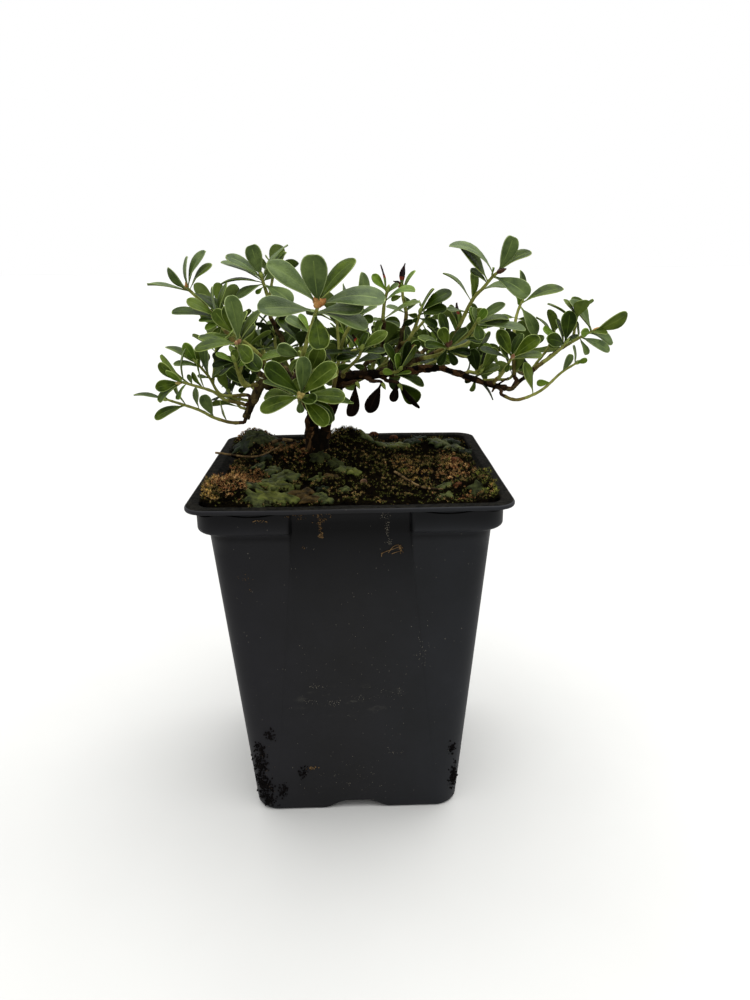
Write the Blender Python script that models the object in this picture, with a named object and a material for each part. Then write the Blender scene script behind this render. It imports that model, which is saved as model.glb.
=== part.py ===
"""Evergreen bearberry shrub in a square nursery pot: pot, soil, trunk, boughs and leafy shoots.

Lengths in the tables are millimetres, +Z is up, the front of the pot faces -Y, and the origin is
the middle of the flat underside. Directions are pairs in degrees: the heading in the front view,
anticlockwise from +X, and the lean towards the front. Meshes are made in metres.
"""

import math
import random

import bmesh
import bpy
from mathutils import Matrix, Vector
from mathutils.bvhtree import BVHTree

MM = 0.001
GAP = 0.35  # air between a shoot and the limb that carries it
CLEAR = 0.45  # air kept round a leaf or twig when it is placed
GOLDEN = math.radians(137.5)
UP = Vector((0, 0, 1))
FRONT = Vector((0, -1, 0))

# Pot: a thin moulded square tub with a flat rim, a stacking collar at its corners, a sunk panel
# on each side and an arch under the middle of each side.
POT_HEIGHT = 133.0
RIM_HALF = 57.0
RIM_INNER_HALF = 52.3
RIM_THICK = 1.6
RIM_RADIUS = 8.3
COLLAR_HALF = 53.8
COLLAR_RADIUS = 9.0
COLLAR_FOOT = 121.7
SHOULDER_BEND = (0.9, 1.2)  # rise over the collar's foot, and step in from the collar
SHOULDER_TOP = (3.0, 0.1)
WALL_TOP_HALF = 50.3
WALL_FOOT_HALF = 40.8
WALL_TOP_RADIUS = 8.5
WALL_FOOT_RADIUS = 9.5
WALL = 1.2
PANEL_TOP_HALF = 21.3
PANEL_FOOT_HALF = 33.0
PANEL_DEPTH = 0.8
PANEL_EDGE = 1.0
ARCH_HALF = 13.5
ARCH_FLAT = 4.0
ARCH_RISE = 3.15
ARCH_FADE = 9.0
FOOT_ROUND = 1.0
FOOT_HEIGHT = 1.3
BASE_HALF = 22.0
BASE_RADIUS = 6.0
CORNER_STEPS = 2
DRAIN_RADIUS = 4.0
DRAIN_PLACE = 12.5
DRAIN_SIDES = 8

# Soil: the fill under its moss, as wide mounds of (x, y, reach, rise) over a level edge.
SOIL_EDGE = 129.7
SOIL_INSET = 0.4
SOIL_FLOOR_INSET = 1.0
MOUND_FALL = 1.6
SOIL_RINGS = 4
SOIL_TOP_HALF = 47.0
SOIL_TOP_RADIUS = 5.0
TRUNK_X, TRUNK_Y = -14.0, 8.0
SOIL_PAD_Z = 136.5
SOIL_PAD_RADIUS = 8.5
MOUNDS = (
    (-8, 12, 36, 5.5),
    (-1, 36, 13, 7.5),
    (-43, 37, 14, 9.0),
    (-42, -38, 15, 6.0),
    (40, -8, 17, 4.0),
    (44, -36, 10, 4.5),
    (35, 40, 16, 2.5),
    (0, -36, 22, 1.5),
)

# Trunk: (height above its cut foot, x, half-width, half-depth), up to the crotch.
TRUNK_RINGS = (
    (0.0, -14.0, 5.9, 5.4),
    (1.4, -13.9, 5.2, 4.7),
    (4.0, -13.7, 4.8, 4.2),
    (6.8, -13.4, 5.0, 3.9),
    (8.6, -13.2, 5.5, 3.5),
)
TRUNK_SIDES = 10
TRUNK_LOBES = 3
TRUNK_LOBE_DEPTH = 0.07
LIMB_SIDES = 5

# Boughs: name, parent, share along the parent (1 goes on from its tip), points passed, end,
# radius at the start and at the end.
BOUGHS = (
    ("left_stem", "trunk", (-15.6, 8.0), ((-14.3, 6.5, 153.0),), (-18.2, 2, 161.1), 2.8, 2.4),
    ("right_stem", "trunk", (-9.9, 8.0), ((-8.2, 6.5, 152.4),), (-4.4, 4, 163.7), 2.2, 2.1),
    ("left_bough", "left_stem", 1, ((-24.7, -3, 164.4),), (-30.7, -8, 167.3), 2.4, 1.9),
    ("left_low_bough", "left_bough", 1, ((-35.2, -9, 164.1),), (-39.8, -8, 154.7), 1.8, 1.5),
    ("left_high_bough", "left_bough", 0.8, ((-32, -9, 174),), (-39.5, -11, 181.0), 1.2, 0.9),
    ("top_left_bough", "left_bough", 0.2, ((-22, -1, 177),), (-27.8, -6, 190.5), 1.3, 0.9),
    ("front_bough", "left_stem", 0.8, ((-18.5, -14, 164),), (-18.0, -34, 174.0), 1.5, 1.1),
    ("front_left_bough", "left_bough", 0.5, ((-29, -20, 171),), (-33, -34, 178.5), 1.2, 0.9),
    (
        "right_bough",
        "right_stem",
        1,
        ((1.3, 3, 168.5), (10.7, 2, 169.3), (21.0, 2, 170.2)),
        (34.4, 2, 171.3),
        2.1,
        1.5,
    ),
    ("right_arm", "right_bough", 1, ((43.1, 2, 168.8), (51.1, 2, 165.9)), (62.3, 2, 162.9), 1.4, 1.1),
    ("centre_bough", "right_bough", 0.32, ((12.4, 2, 178),), (13.8, 0, 188.0), 1.0, 0.8),
    ("centre_back_bough", "right_bough", 0.56, ((19.5, 6, 178),), (22.6, 7, 189.0), 1.0, 0.8),
    ("high_right_bough", "right_bough", 0.68, ((30, -2, 176),), (38.5, -2, 180.3), 1.1, 0.9),
    ("far_right_bough", "right_arm", 1, ((71, 4, 167.5),), (80.9, 6, 175.1), 1.0, 0.8),
    ("back_left_bough", "left_stem", 0.55, ((-20, 20, 162),), (-30, 34, 170.0), 1.4, 0.9),
    ("back_bough", "right_stem", 0.6, ((-4, 20, 163),), (-2, 38, 172.0), 1.4, 0.9),
    ("back_right_bough", "right_bough", 0.45, ((20, 18, 171),), (36, 34, 176.0), 1.2, 0.9),
)

# Leafy shoots: name, parent, share along the parent, points passed, tip, the way the tip faces,
# side twigs, seed, and the nodes. Each node is a share along the twig and its leaves: heading,
# lean, length as a share of LEAF, how much of the upper side faces front, and the curl where it
# isn't LEAF_CURL. The seeded rule sets the side twigs, and the leaves of a node that lists none.
LEAF = 14.5
SHOOTS = (
    ("front_top_shoot", "front_bough", 1, ((-15.5, -44, 180.5), (-12, -54, 190)),
     (-8, -66, 200.5), (75, 48), 0, 0, (
        (1.0, ((95, 30, 1.15, 1.0), (45, 8, 1.25, 0.5, 50), (140, 18, 1.35, 0.6, 50),
            (5, 12, 1.55, 0.4, 60))),
        (0.92, ((175, 22, 1.3, 0.6), (15, 25, 1.15, 0.5), (-15, 30, 1.3, 0.4, 50),
            (-80, 42, 0.95, 1.0))),
        (0.66, ((145, -12, 0.65, 0.7), (125, -20, 0.5, 0.5))),
    )),
    ("front_low_shoot", "front_bough", 0.62, (), (-15.5, -50, 170.5), (60, 68), 0, 0, (
        (1.0, ((135, 20, 1.15, 0.6), (85, 8, 0.95, 0.8), (50, 15, 1.2, 0.8), (0, 15, 1.1, 0.7),
            (-165, 20, 1.0, 0.8), (-45, 25, 0.95, 0.8), (30, -12, 1.05, 0.4), (-30, 6, 0.95, 0.6),
            (155, -2, 0.95, 0.3), (-180, -14, 0.9, 0.5), (-25, -12, 1.0, 0.6), (5, 55, 0.7, 0.5),
            (-20, -25, 1.4, 0.3), (-90, -22, 0.4, 1.0))),
    )),
    ("left_front_shoot", "front_left_bough", 1, (), (-35, -50, 188), (80, 50), 0, 0, (
        (1.0, ((95, 12, 1.1, 0.7), (-175, 20, 1.0, 0.5, 45), (-35, 56, 0.85, 1.0),
            (-45, 36, 0.9, 0.9), (75, -8, 0.8, 0.5), (55, -6, 1.0, 0.5), (50, -20, 0.65, 0.6),
            (165, -6, 0.95, 0.3))),
    )),
    ("inner_left_shoot", "front_bough", 0.45, (), (-16, -38, 182.5), (110, 60), 1, 76, (
        (0.97, ((155, 32, 0.7, 1.0), (-175, 6, 1.0, 0.3, 50), (175, -8, 0.75, 0.8),
            (-130, -24, 0.55, 0.7), (35, -24, 0.6, 0.8))),
    )),
    ("top_left_shoot", "top_left_bough", 1, ((-29, -7, 198.5),), (-31, -8, 207), (115, 10), 1, 66, (
        (0.98, ((105, 8, 0.9, 1.0), (50, 0, 1.15, 0.3, 55), (50, -25, 1.0, 0.6), (35, 10, 0.5, 0.9))),
        (0.93, ((145, 8, 1.1, 0.4, 45), (155, -6, 1.2, 0.1), (180, 10, 1.1, 0.1, 45),
            (-155, 14, 0.8, 0.6, 45), (-30, 34, 1.05, 0.8, 45), (-140, 10, 0.3, 0.9))),
    )),
    ("high_left_shoot", "left_high_bough", 1, ((-51.5, -8, 196),),
     (-58.5, -8, 203.5), (135, 10), 1, 67, (
        (0.99, ((60, 4, 1.1, 0.4, 45), (80, -8, 0.85, 0.4, 45), (45, 8, 0.95, 0.4, 50),
            (130, 12, 0.8, 0.7, 50), (170, 0, 1.15, 0.1, 25), (-30, 18, 0.95, 0.5, 40),
            (-40, -10, 0.4, 1.0))),
    )),
    ("mid_left_shoot", "left_high_bough", 0.55, (), (-46, -22, 193.5), (125, 32), 1, 21, (
        (1.0, ((145, 14, 0.85, 0.5), (170, 6, 1.15, 0.2, 35), (75, -4, 0.95, 0.4),
            (100, -10, 0.85, 0.4), (175, 14, 0.55, 0.4, 45), (-170, 24, 0.45, 0.7),
            (45, -18, 0.4, 1.0), (-130, 12, 0.4, 1.0))),
    )),
    ("low_left_upper_shoot", "left_low_bough", 0.55, ((-49.5, -3, 163), (-54, -1, 169.5)),
     (-58, -2, 175), (110, 10), 1, 22, (
        (0.98, ((120, 4, 0.7, 1.0), (150, -8, 1.05, 0.3), (105, 0, 0.5, 1.0),
            (150, 10, 0.75, 0.3, 50), (75, -14, 0.45, 1.0))),
        (0.76, ((90, 6, 0.95, 0.6), (165, 8, 0.35, 0.5), (45, -12, 0.5, 0.7))),
    )),
    ("low_left_middle_shoot", "left_low_bough", 0.72, ((-47, -11, 162.5), (-51.5, -12, 166)),
     (-62.5, -14, 170), (165, 18), 0, 0, (
        (1.0, ((135, 8, 0.75, 0.9), (-180, 10, 0.7, 0.9), (-155, 8, 0.85, 0.5, 45),
            (85, -6, 0.9, 0.2, 50), (135, 34, 0.65, 0.7), (-125, 6, 0.5, 0.6))),
        (0.85, ((135, -10, 1.1, 0.1), (120, -4, 0.3, 1.0))),
        (0.68, ((140, 10, 0.5, 0.7), (100, -6, 0.8, 0.3))),
    )),
    ("low_left_bottom_shoot", "left_low_bough", 1,
     ((-45.5, -8, 153), (-52, -8, 155), (-58, -7, 158)), (-70, -6, 162), (166, 4), 0, 0, (
        (1.0, ((170, 0, 0.9, 0.1, 25), (130, 20, 0.3, 0.9))),
        (0.78, ((-160, 10, 0.9, 0.6), (115, 6, 0.6, 0.5))),
        (0.61, ((95, 4, 0.65, 0.7),)),
        (0.42, ((110, 8, 0.7, 1.0),)),
        (0.26, ((105, -4, 0.6, 0.4),)),
    )),
    ("stub_left_shoot", "left_low_bough", 0.2, ((-39, -16, 169),), (-41, -20, 178), (110, 25), 1, 62, (
        (0.98, ((-175, 10, 0.6, 0.5, 40), (160, 0, 0.55, 0.4), (-150, 16, 0.5, 0.4),
            (60, -18, 0.55, 0.8), (105, -12, 0.45, 1.0), (35, 0, 0.45, 1.0))),
        (0.29, ((135, 6, 0.7, 1.0), (-175, 24, 0.3, 1.0), (65, -14, 0.4, 1.0))),
    )),
    ("centre_left_shoot", "right_stem", 0.9, ((-2.5, -10, 181), (-0.5, -16, 187)),
     (3.5, -18, 193), (85, 20), 1, 36, (
        (1.0, ((80, -4, 1.15, 0.6), (30, 4, 0.65, 0.4), (10, 12, 0.5, 0.9), (65, 18, 0.6, 0.6),
            (95, 8, 0.5, 0.4), (110, 20, 0.3, 1.0))),
        (0.79, ((125, -8, 0.25, 1.0), (110, -14, 0.8, 0.5), (100, -20, 1.4, 0.3))),
    )),
    ("centre_top_shoot", "centre_bough", 1, ((13.5, -3, 191), (14, -5, 197)),
     (15, -6, 201.0), (80, 15), 0, 0, (
        (1.0, ((130, 10, 0.6, 0.8), (110, -6, 0.75, 0.2, 15), (40, 10, 0.45, 0.6, 45))),
        (0.74, ((20, 4, 0.95, 0.3, 75),)),
        (0.28, ((25, -4, 1.1, 0.2, 30), (-20, 6, 0.5, 0.4), (170, -6, 0.3, 0.6),
            (-115, 10, 0.35, 0.5))),
    )),
    ("centre_tip_shoot", "centre_back_bough", 1, (), (21.5, 8, 201), (88, 5), 0, 0, (
        (0.98, ((85, 2, 0.75, 0.5), (130, 36, 0.55, 0.6, 60), (60, -8, 0.7, 0.3, 40),
            (-55, 20, 0.35, 0.8), (-160, 0, 0.35, 0.9))),
        (0.29, ((60, -10, 0.45, 0.8), (160, -6, 0.6, 0.4), (-10, -14, 0.35, 1.0))),
    )),
    ("centre_right_shoot", "centre_back_bough", 0.55, (), (28, 3, 192.5), (75, 20), 1, 28, (
        (0.99, ((35, 8, 1.05, 0.5, 45), (25, 20, 0.8, 0.8, 40), (60, -6, 0.85, 0.1, 30),
            (-145, 30, 0.25, 1.0, 60), (-25, 24, 0.6, 0.8, 50), (-160, 0, 0.4, 1.0))),
    )),
    ("centre_low_shoot", "right_bough", 0.12, (), (5, -12, 180.5), (85, 30), 0, 0, (
        (1.0, ((35, 10, 0.85, 0.8), (115, 6, 0.5, 0.4, 15), (160, -8, 0.8, 0.6), (5, 16, 0.7, 0.5),
            (135, 6, 0.65, 0.3), (175, 8, 1.0, 0.2, 30), (30, -8, 0.65, 0.5), (175, 22, 0.65, 0.5),
            (70, -14, 0.7, 0.6))),
        (0.59, ((-165, 2, 0.4, 1.0), (-15, 2, 0.35, 1.0), (15, -4, 0.85, 0.3))),
    )),
    ("bough_shoot", "right_bough", 0.5, (), (19.5, -6, 172), (80, 45), 0, 0, (
        (0.92, ((70, 4, 0.85, 0.7), (115, 4, 0.85, 0.6), (40, 8, 0.95, 0.5), (90, 24, 0.6, 0.7),
            (30, -6, 0.95, 0.2), (20, -2, 1.15, 0.4), (160, 22, 0.4, 1.0), (-20, 8, 0.85, 0.5),
            (90, -12, 0.85, 0.3), (15, 20, 0.5, 0.3))),
    )),
    ("hanging_shoot", "right_bough", 0.36, (), (13, -1, 166), (-90, 10), 0, 0, (
        (1.0, ((-115, 2, 0.9, 1.0, 12),)),
    )),
    ("hanging_left_shoot", "right_bough", 0.1, (), (3, -1, 166.5), (-95, 10), 0, 0, (
        (1.0, ((-100, 2, 1.0, 0.7, 12),)),
    )),
    ("hanging_right_shoot", "right_bough", 0.5, (), (19.5, -1, 165.5), (-80, 10), 0, 0, (
        (0.94, ((-105, 2, 0.55, 1.0, 12), (-45, 2, 0.85, 0.4, 12), (-45, -8, 1.05, 0.6))),
    )),
    ("right_top_shoot", "high_right_bough", 1,
     ((41.5, -10, 188), (45.5, -15, 198), (49, -18, 202.5), (51.5, -20, 206)),
     (53.5, -22, 208), (60, 16), 0, 0, (
        (1.0, ((80, 8, 0.9, 0.8), (30, 0, 0.95, 0.4, 45))),
        (0.94, ((145, 8, 1.45, 0.3, 75), (-30, 28, 1.1, 0.8, 50), (80, 0, 0.25, 0.5, 10))),
        (0.86, ((130, 20, 1.2, 0.6, 45), (140, -6, 0.55, 0.7, 45))),
        (0.76, ((10, 4, 0.7, 0.4, 45),)),
        (0.62, ((85, -8, 0.75, 0.8), (135, 0, 1.05, 0.1, 50))),
        (0.5, ((170, 0, 0.5, 0.3, 20), (0, 20, 0.55, 0.8, 45))),
        (0.32, ((95, -8, 0.65, 0.4, 12), (85, 6, 0.65, 0.5, 20))),
    )),
    ("right_mid_shoot", "high_right_bough", 0.7, ((43.5, -14, 185),),
     (46.5, -22, 191), (60, 35), 0, 0, (
        (0.98, ((-85, 50, 0.6, 1.0), (35, 8, 0.85, 0.5), (40, 16, 0.5, 0.8), (90, 10, 0.45, 0.5),
            (-5, 12, 1.25, 0.2, 20), (100, -14, 0.5, 0.7), (0, -8, 0.95, 0.2, 60),
            (5, 26, 0.35, 0.6))),
        (0.58, ((-10, 10, 0.5, 0.7, 25), (65, -12, 0.35, 1.0))),
    )),
    ("right_base_shoot", "high_right_bough", 0.45, (), (37, -16, 182), (100, 40), 0, 0, (
        (1.0, ((115, 30, 0.65, 1.0), (105, 6, 0.9, 0.6), (170, 10, 0.65, 0.8),
            (-120, 16, 0.5, 1.0), (-60, 20, 0.5, 1.0), (45, -16, 0.75, 0.6), (155, -14, 0.85, 0.4),
            (-5, 0, 0.65, 0.7))),
    )),
    ("right_inner_shoot", "right_arm", 0.42, (), (52, 4, 169), (85, 20), 1, 24, (
        (0.93, ((60, 6, 0.85, 0.9), (105, 4, 0.75, 1.0), (-175, 14, 0.4, 0.9),
            (80, -12, 0.85, 0.6), (-130, 16, 0.45, 0.8), (-50, 10, 0.85, 0.2), (25, -8, 0.8, 0.6))),
    )),
    ("right_low_shoot", "right_arm", 0.8, ((59, -5, 169.5),), (61, -14, 177), (82, 40), 0, 79, (
        (1.0, ((120, 16, 0.9, 0.9), (40, 12, 0.9, 0.8), (65, -16, 0.75, 0.6),
            (10, 14, 0.85, 0.4, 40), (160, 12, 0.95, 0.4, 40), (130, 26, 0.55, 0.7),
            (-110, 10, 0.3, 1.0))),
    )),
    ("right_up_shoot", "far_right_bough", 0.25, ((65.5, 7, 181), (67, 11, 189.5)),
     (69.5, 14, 195.5), (70, 5), 0, 4, (
        (0.97, ((20, 4, 1.25, 0.3, 40), (90, -8, 0.95, 0.6), (-60, 12, 0.95, 0.9, 45),
            (105, -6, 0.35, 0.8))),
        (0.79, ((-170, 0, 0.6, 0.4), (-15, -10, 0.5, 0.7))),
    )),
    ("far_right_shoot", "far_right_bough", 1, ((92.5, 9, 181.5),), (98.5, 11, 184), (30, 12), 1, 59, (
        (0.99, ((25, 5, 1.0, 0.5, 45), (130, 8, 1.15, 0.7, 45), (120, -8, 1.1, 0.4, 50),
            (175, 48, 0.55, 1.0), (0, 14, 0.5, 0.6), (-20, -12, 0.85, 0.3))),
        (0.69, ((-25, 12, 0.9, 0.7, 30), (-65, 20, 0.55, 0.8), (100, -16, 0.5, 0.6))),
    )),
    ("far_right_inner_shoot", "far_right_bough", 0.62, (), (85.5, 4, 180), (60, 10), 0, 76, (
        (1.0, ((85, 2, 0.9, 1.0), (160, 40, 0.9, 0.9, 60), (105, -14, 0.75, 0.6),
            (35, -8, 0.55, 0.4), (135, 0, 0.8, 0.6), (165, 12, 0.4, 1.0))),
    )),
    ("low_right_shoot", "right_arm", 0.94, ((66.5, 0, 158.5), (76.5, 3, 161.5), (85, 6, 168)),
     (91.5, 8, 171.5), (35, 5), 0, 0, (
        (1.0, ((25, 24, 0.35, 1.0), (95, -6, 0.55, 0.6))),
        (0.82, ((70, 16, 0.6, 0.9),)),
        (0.66, ((-180, 10, 0.45, 1.0, 50),)),
        (0.42, ((110, -6, 1.0, 0.7),)),
    )),
    ("back_left_shoot", "back_left_bough", 1, (), (-38.5, 46, 173), (120, -30), 3, 40, ((1.0, ()),)),
    ("back_left_low_shoot", "back_left_bough", 0.6, (), (-46.5, 24, 167.5), (150, -15), 2, 45, ((1.0, ()),)),
    ("back_middle_left_shoot", "back_left_bough", 0.8, (), (-15, 54, 173), (90, -40), 2, 27, ((1.0, ()),)),
    ("back_shoot", "back_bough", 1, (), (1.5, 58, 174.5), (90, -35), 3, 50, ((1.0, ()),)),
    ("back_low_shoot", "back_bough", 0.6, (), (20.5, 42, 169.5), (60, -35), 2, 46, ((1.0, ()),)),
    ("back_top_shoot", "back_bough", 0.3, (), (18, 24, 178), (85, -10), 2, 37, ((1.0, ()),)),
    ("back_right_shoot", "back_right_bough", 1, (), (54.5, 48, 171.5), (60, -30), 3, 26, ((1.0, ()),)),
    ("back_right_low_shoot", "back_right_bough", 0.6, (), (35.5, 50, 171.5), (90, -45), 2, 2, ((1.0, ()),)),
    ("back_far_right_shoot", "far_right_bough", 0.45, (), (73.5, 32, 173), (60, -30), 2, 55, ((1.0, ()),)),
)

TWIG_RADIUS = 0.85
TWIG_TIP_RADIUS = 0.55
TWIG_RINGS = 6
TWIG_HANDLE = 0.35
TWIG_NUDGE = 0.15
SIDE_TWIG_RADIUS = 0.6
SIDE_TWIG_LENGTH = 11.0
SIDE_TWIG_SPREAD = 52.0
SIDE_WHORL = 5
TIP_WHORL = 8
WHORL_TILT = 24.0  # the innermost leaves' angle to their twig
TIP_SPREAD = 58.0  # the outermost leaves' further angle
STEM_SPREAD = 46.0
SIDE_SPREAD = 44.0
INNER_LEAF = 0.55
STEM_LEAVES = 2
LEAF_CURL = 34.0
CURL_RANGE = 14.0
LEAF_STEP = 0.4
# A leaf's sections: share of its length, half-width and keel depth as shares of its length.
LEAF_SECTIONS = ((0.42, 0.15, 0.034), (0.78, 0.23, 0.03))
LEAF_DISH = 0.12
NUDGES = ((0, 0), (10, 0), (-10, 0), (0, 14), (0, -14), (18, 10), (-18, -10), (0, 28), (24, -16))
CROWN_LOW = Vector((-84.0, -84.0, 148.0))
CROWN_HIGH = Vector((111.5, 74.0, 221.0))

POT_COLOUR = (0.018, 0.019, 0.021, 1)
SOIL_COLOUR = (0.030, 0.026, 0.014, 1)
BARK_COLOUR = (0.045, 0.028, 0.018, 1)
LEAF_COLOUR = (0.110, 0.190, 0.060, 1)


def clear_scene():
    for item in list(bpy.data.objects):
        bpy.data.objects.remove(item, do_unlink=True)


def material(name, colour, roughness):
    made = bpy.data.materials.new(name)
    made.use_nodes = True
    shader = made.node_tree.nodes["Principled BSDF"]
    shader.inputs["Base Color"].default_value = colour
    shader.inputs["Roughness"].default_value = roughness
    made.diffuse_color = colour
    return made


def make_object(name, shape, finish, collection=None):
    """An object in metres from a shape of points in millimetres and faces."""
    points, faces = shape
    mesh = bpy.data.meshes.new(name)
    mesh.from_pydata([Vector(p) * MM for p in points], [], faces)
    mesh.materials.append(finish)
    made = bpy.data.objects.new(name, mesh)
    (collection or bpy.context.scene.collection).objects.link(made)
    return made


def loft(rings, cap_start=True, cap_end=True):
    """A closed shape through rings of equal count, each anticlockwise seen from the last one."""
    count = len(rings[0])
    points = [p for ring in rings for p in ring]
    faces = []
    for low in range(0, count * (len(rings) - 1), count):
        for k in range(count):
            after = (k + 1) % count
            faces.append((low + k, low + after, low + count + after, low + count + k))
    if cap_start:
        faces.append(tuple(reversed(range(count))))
    if cap_end:
        faces.append(tuple(range(len(points) - count, len(points))))
    return points, faces


def direction(heading, lean):
    h, tilt = math.radians(heading), math.radians(lean)
    return Vector((math.cos(h) * math.cos(tilt), -math.sin(tilt), math.sin(h) * math.cos(tilt)))


def wall_half(z):
    return WALL_FOOT_HALF + (WALL_TOP_HALF - WALL_FOOT_HALF) * z / COLLAR_FOOT


def wall_radius(z):
    return WALL_FOOT_RADIUS + (WALL_TOP_RADIUS - WALL_FOOT_RADIUS) * z / COLLAR_FOOT


def panel_half(z):
    share = min(max(z / COLLAR_FOOT, 0.0), 1.0)
    return PANEL_FOOT_HALF + (PANEL_TOP_HALF - PANEL_FOOT_HALF) * share


def panel_plane(z):
    return wall_half(z) - PANEL_DEPTH * z / COLLAR_FOOT


def square_ring(half, radius, z, panel, plane, rise=0.0):
    """A rounded square round the pot's axis; each side is sunk to plane between its panel edges."""
    straight = half - radius
    past = min(max((panel + PANEL_EDGE - straight) / radius, 0.0), 1.0)
    first = math.asin(past)
    stops = (-panel, -panel + PANEL_EDGE, -ARCH_HALF, -ARCH_FLAT)
    side = []
    for along in stops + tuple(-stop for stop in reversed(stops)):
        over = max(abs(along) - straight, 0.0)
        out = straight + math.sqrt(radius * radius - over * over)
        if abs(along) < panel:
            out = min(out, plane)
        side.append((along, out, z + (rise if abs(along) <= ARCH_FLAT else 0.0)))
    for step in range(CORNER_STEPS + 1):
        turn = first + (math.pi / 2 - 2 * first) * step / CORNER_STEPS
        side.append((straight + radius * math.sin(turn), straight + radius * math.cos(turn), z))
    ring = []
    for quarter in range(4):
        spin = Matrix.Rotation(quarter * math.pi / 2, 3, "Z")
        ring.extend(spin @ Vector((along, -out, height)) for along, out, height in side)
    return ring


def arch_rise(z):
    return ARCH_RISE * max(0.0, 1 - z / ARCH_FADE)


def pot_rings(inset, lift):
    """The tub's rings from the underside to under the rim, moved in by inset and up by lift.

    Inside, the collar's shoulder is one straight slope.
    """
    base_radius = BASE_RADIUS - inset * 0.5
    rings = [square_ring(BASE_HALF - inset, base_radius, lift, ARCH_HALF + 1.5, BASE_HALF)]
    # Height and half-width up the wall: rounded foot, arch top, then the collar's shoulder.
    levels = [
        (0.0, wall_half(0) - FOOT_ROUND),
        (FOOT_HEIGHT, wall_half(FOOT_HEIGHT)),
        (ARCH_FADE, wall_half(ARCH_FADE)),
        (COLLAR_FOOT, WALL_TOP_HALF),
        (COLLAR_FOOT + SHOULDER_TOP[0], COLLAR_HALF - SHOULDER_TOP[1]),
    ]
    if not inset:
        levels.insert(-1, (COLLAR_FOOT + SHOULDER_BEND[0], COLLAR_HALF - SHOULDER_BEND[1]))
    for z, half in levels:
        in_collar = z > COLLAR_FOOT
        radius = COLLAR_RADIUS if in_collar else wall_radius(z)
        ring = square_ring(
            half - inset,
            radius - inset,
            z + lift * (1.0 if z < ARCH_FADE or in_collar else 0.75),
            panel_half(z) + inset,
            panel_plane(z) - inset,
            arch_rise(z),
        )
        rings.append(ring)
    return rings


def collar_ring(inset, z):
    return square_ring(
        COLLAR_HALF - inset, COLLAR_RADIUS - inset, z, PANEL_TOP_HALF + inset, panel_plane(z) - inset
    )


def plain_ring(half, radius, z):
    return square_ring(half, radius, z, PANEL_TOP_HALF, half)


def pot_shape():
    under_rim = POT_HEIGHT - RIM_THICK
    rings = pot_rings(0.0, 0.0)
    rings.append(collar_ring(0.0, under_rim))
    rings.append(plain_ring(RIM_HALF, RIM_RADIUS, under_rim))
    rings.append(plain_ring(RIM_HALF, RIM_RADIUS, POT_HEIGHT))
    rings.append(plain_ring(RIM_INNER_HALF, RIM_RADIUS - 1.2, POT_HEIGHT))
    rings.append(collar_ring(WALL + 0.1, under_rim - 0.6))
    rings.extend(reversed(pot_rings(WALL, WALL)))
    return loft(rings)


def soil_height(x, y):
    height = SOIL_EDGE
    for mound_x, mound_y, reach, rise in MOUNDS:
        near = ((x - mound_x) ** 2 + (y - mound_y) ** 2) / reach**2
        height += rise * math.exp(-MOUND_FALL * near)
    return height


def soil_shape():
    inset = WALL + SOIL_INSET
    rings = []
    back = WALL + SOIL_FLOOR_INSET
    half, radius, panel = wall_half(ARCH_FADE), wall_radius(ARCH_FADE), panel_half(ARCH_FADE)
    plane = panel_plane(ARCH_FADE) - back
    rings.append(square_ring(half - back, radius - back, ARCH_FADE, panel + back, plane))
    rings.extend(pot_rings(inset, inset)[-2:])
    rings.append(collar_ring(inset + 0.1, SOIL_EDGE))
    panel = PANEL_TOP_HALF + inset + 0.3
    edge = square_ring(SOIL_TOP_HALF, SOIL_TOP_RADIUS, SOIL_EDGE, panel, SOIL_TOP_HALF)
    middle = Vector((TRUNK_X, TRUNK_Y))
    for step in range(SOIL_RINGS + 1):
        share = step / SOIL_RINGS
        ring = []
        for corner in edge:
            outer = corner.xy - middle
            place = middle + outer.lerp(outer.normalized() * SOIL_PAD_RADIUS, share)
            settle = max(0.0, share * 3 - 2)
            height = soil_height(*place) * (1 - settle) + SOIL_PAD_Z * settle
            ring.append(Vector((place.x, place.y, height)))
        rings.append(ring)
    return loft(rings)


def trunk_shape():
    rings = []
    for rise, x, half_width, half_depth in TRUNK_RINGS:
        ring = []
        for k in range(TRUNK_SIDES):
            turn = 2 * math.pi * k / TRUNK_SIDES
            swell = 1 + TRUNK_LOBE_DEPTH * math.cos(TRUNK_LOBES * turn) * (1 - rise / TRUNK_RINGS[-1][0])
            px = x + half_width * swell * math.cos(turn)
            py = TRUNK_Y + half_depth * swell * math.sin(turn)
            ring.append(Vector((px, py, SOIL_PAD_Z + GAP + rise)))
        rings.append(ring)
    return loft(rings)


def smooth_path(stops, steps):
    """A Catmull-Rom curve through the stops, with its points steps to a span."""
    stops = [stops[0] * 2 - stops[1]] + stops + [stops[-1] * 2 - stops[-2]]
    path = []
    for before, here, there, beyond in zip(stops, stops[1:], stops[2:], stops[3:]):
        for k in range(steps):
            s = k / steps
            curve = here * 2 + (there - before) * s
            curve += (before * 2 - here * 5 + there * 4 - beyond) * s * s
            curve += (here * 3 - before - there * 3 + beyond) * s**3
            path.append(curve * 0.5)
    path.append(stops[-2])
    return path


def bezier_path(start, first, last, end, steps):
    path = []
    for k in range(steps + 1):
        s = k / steps
        r = 1 - s
        path.append(start * r**3 + first * 3 * r * r * s + last * 3 * r * s * s + end * s**3)
    return path


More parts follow.
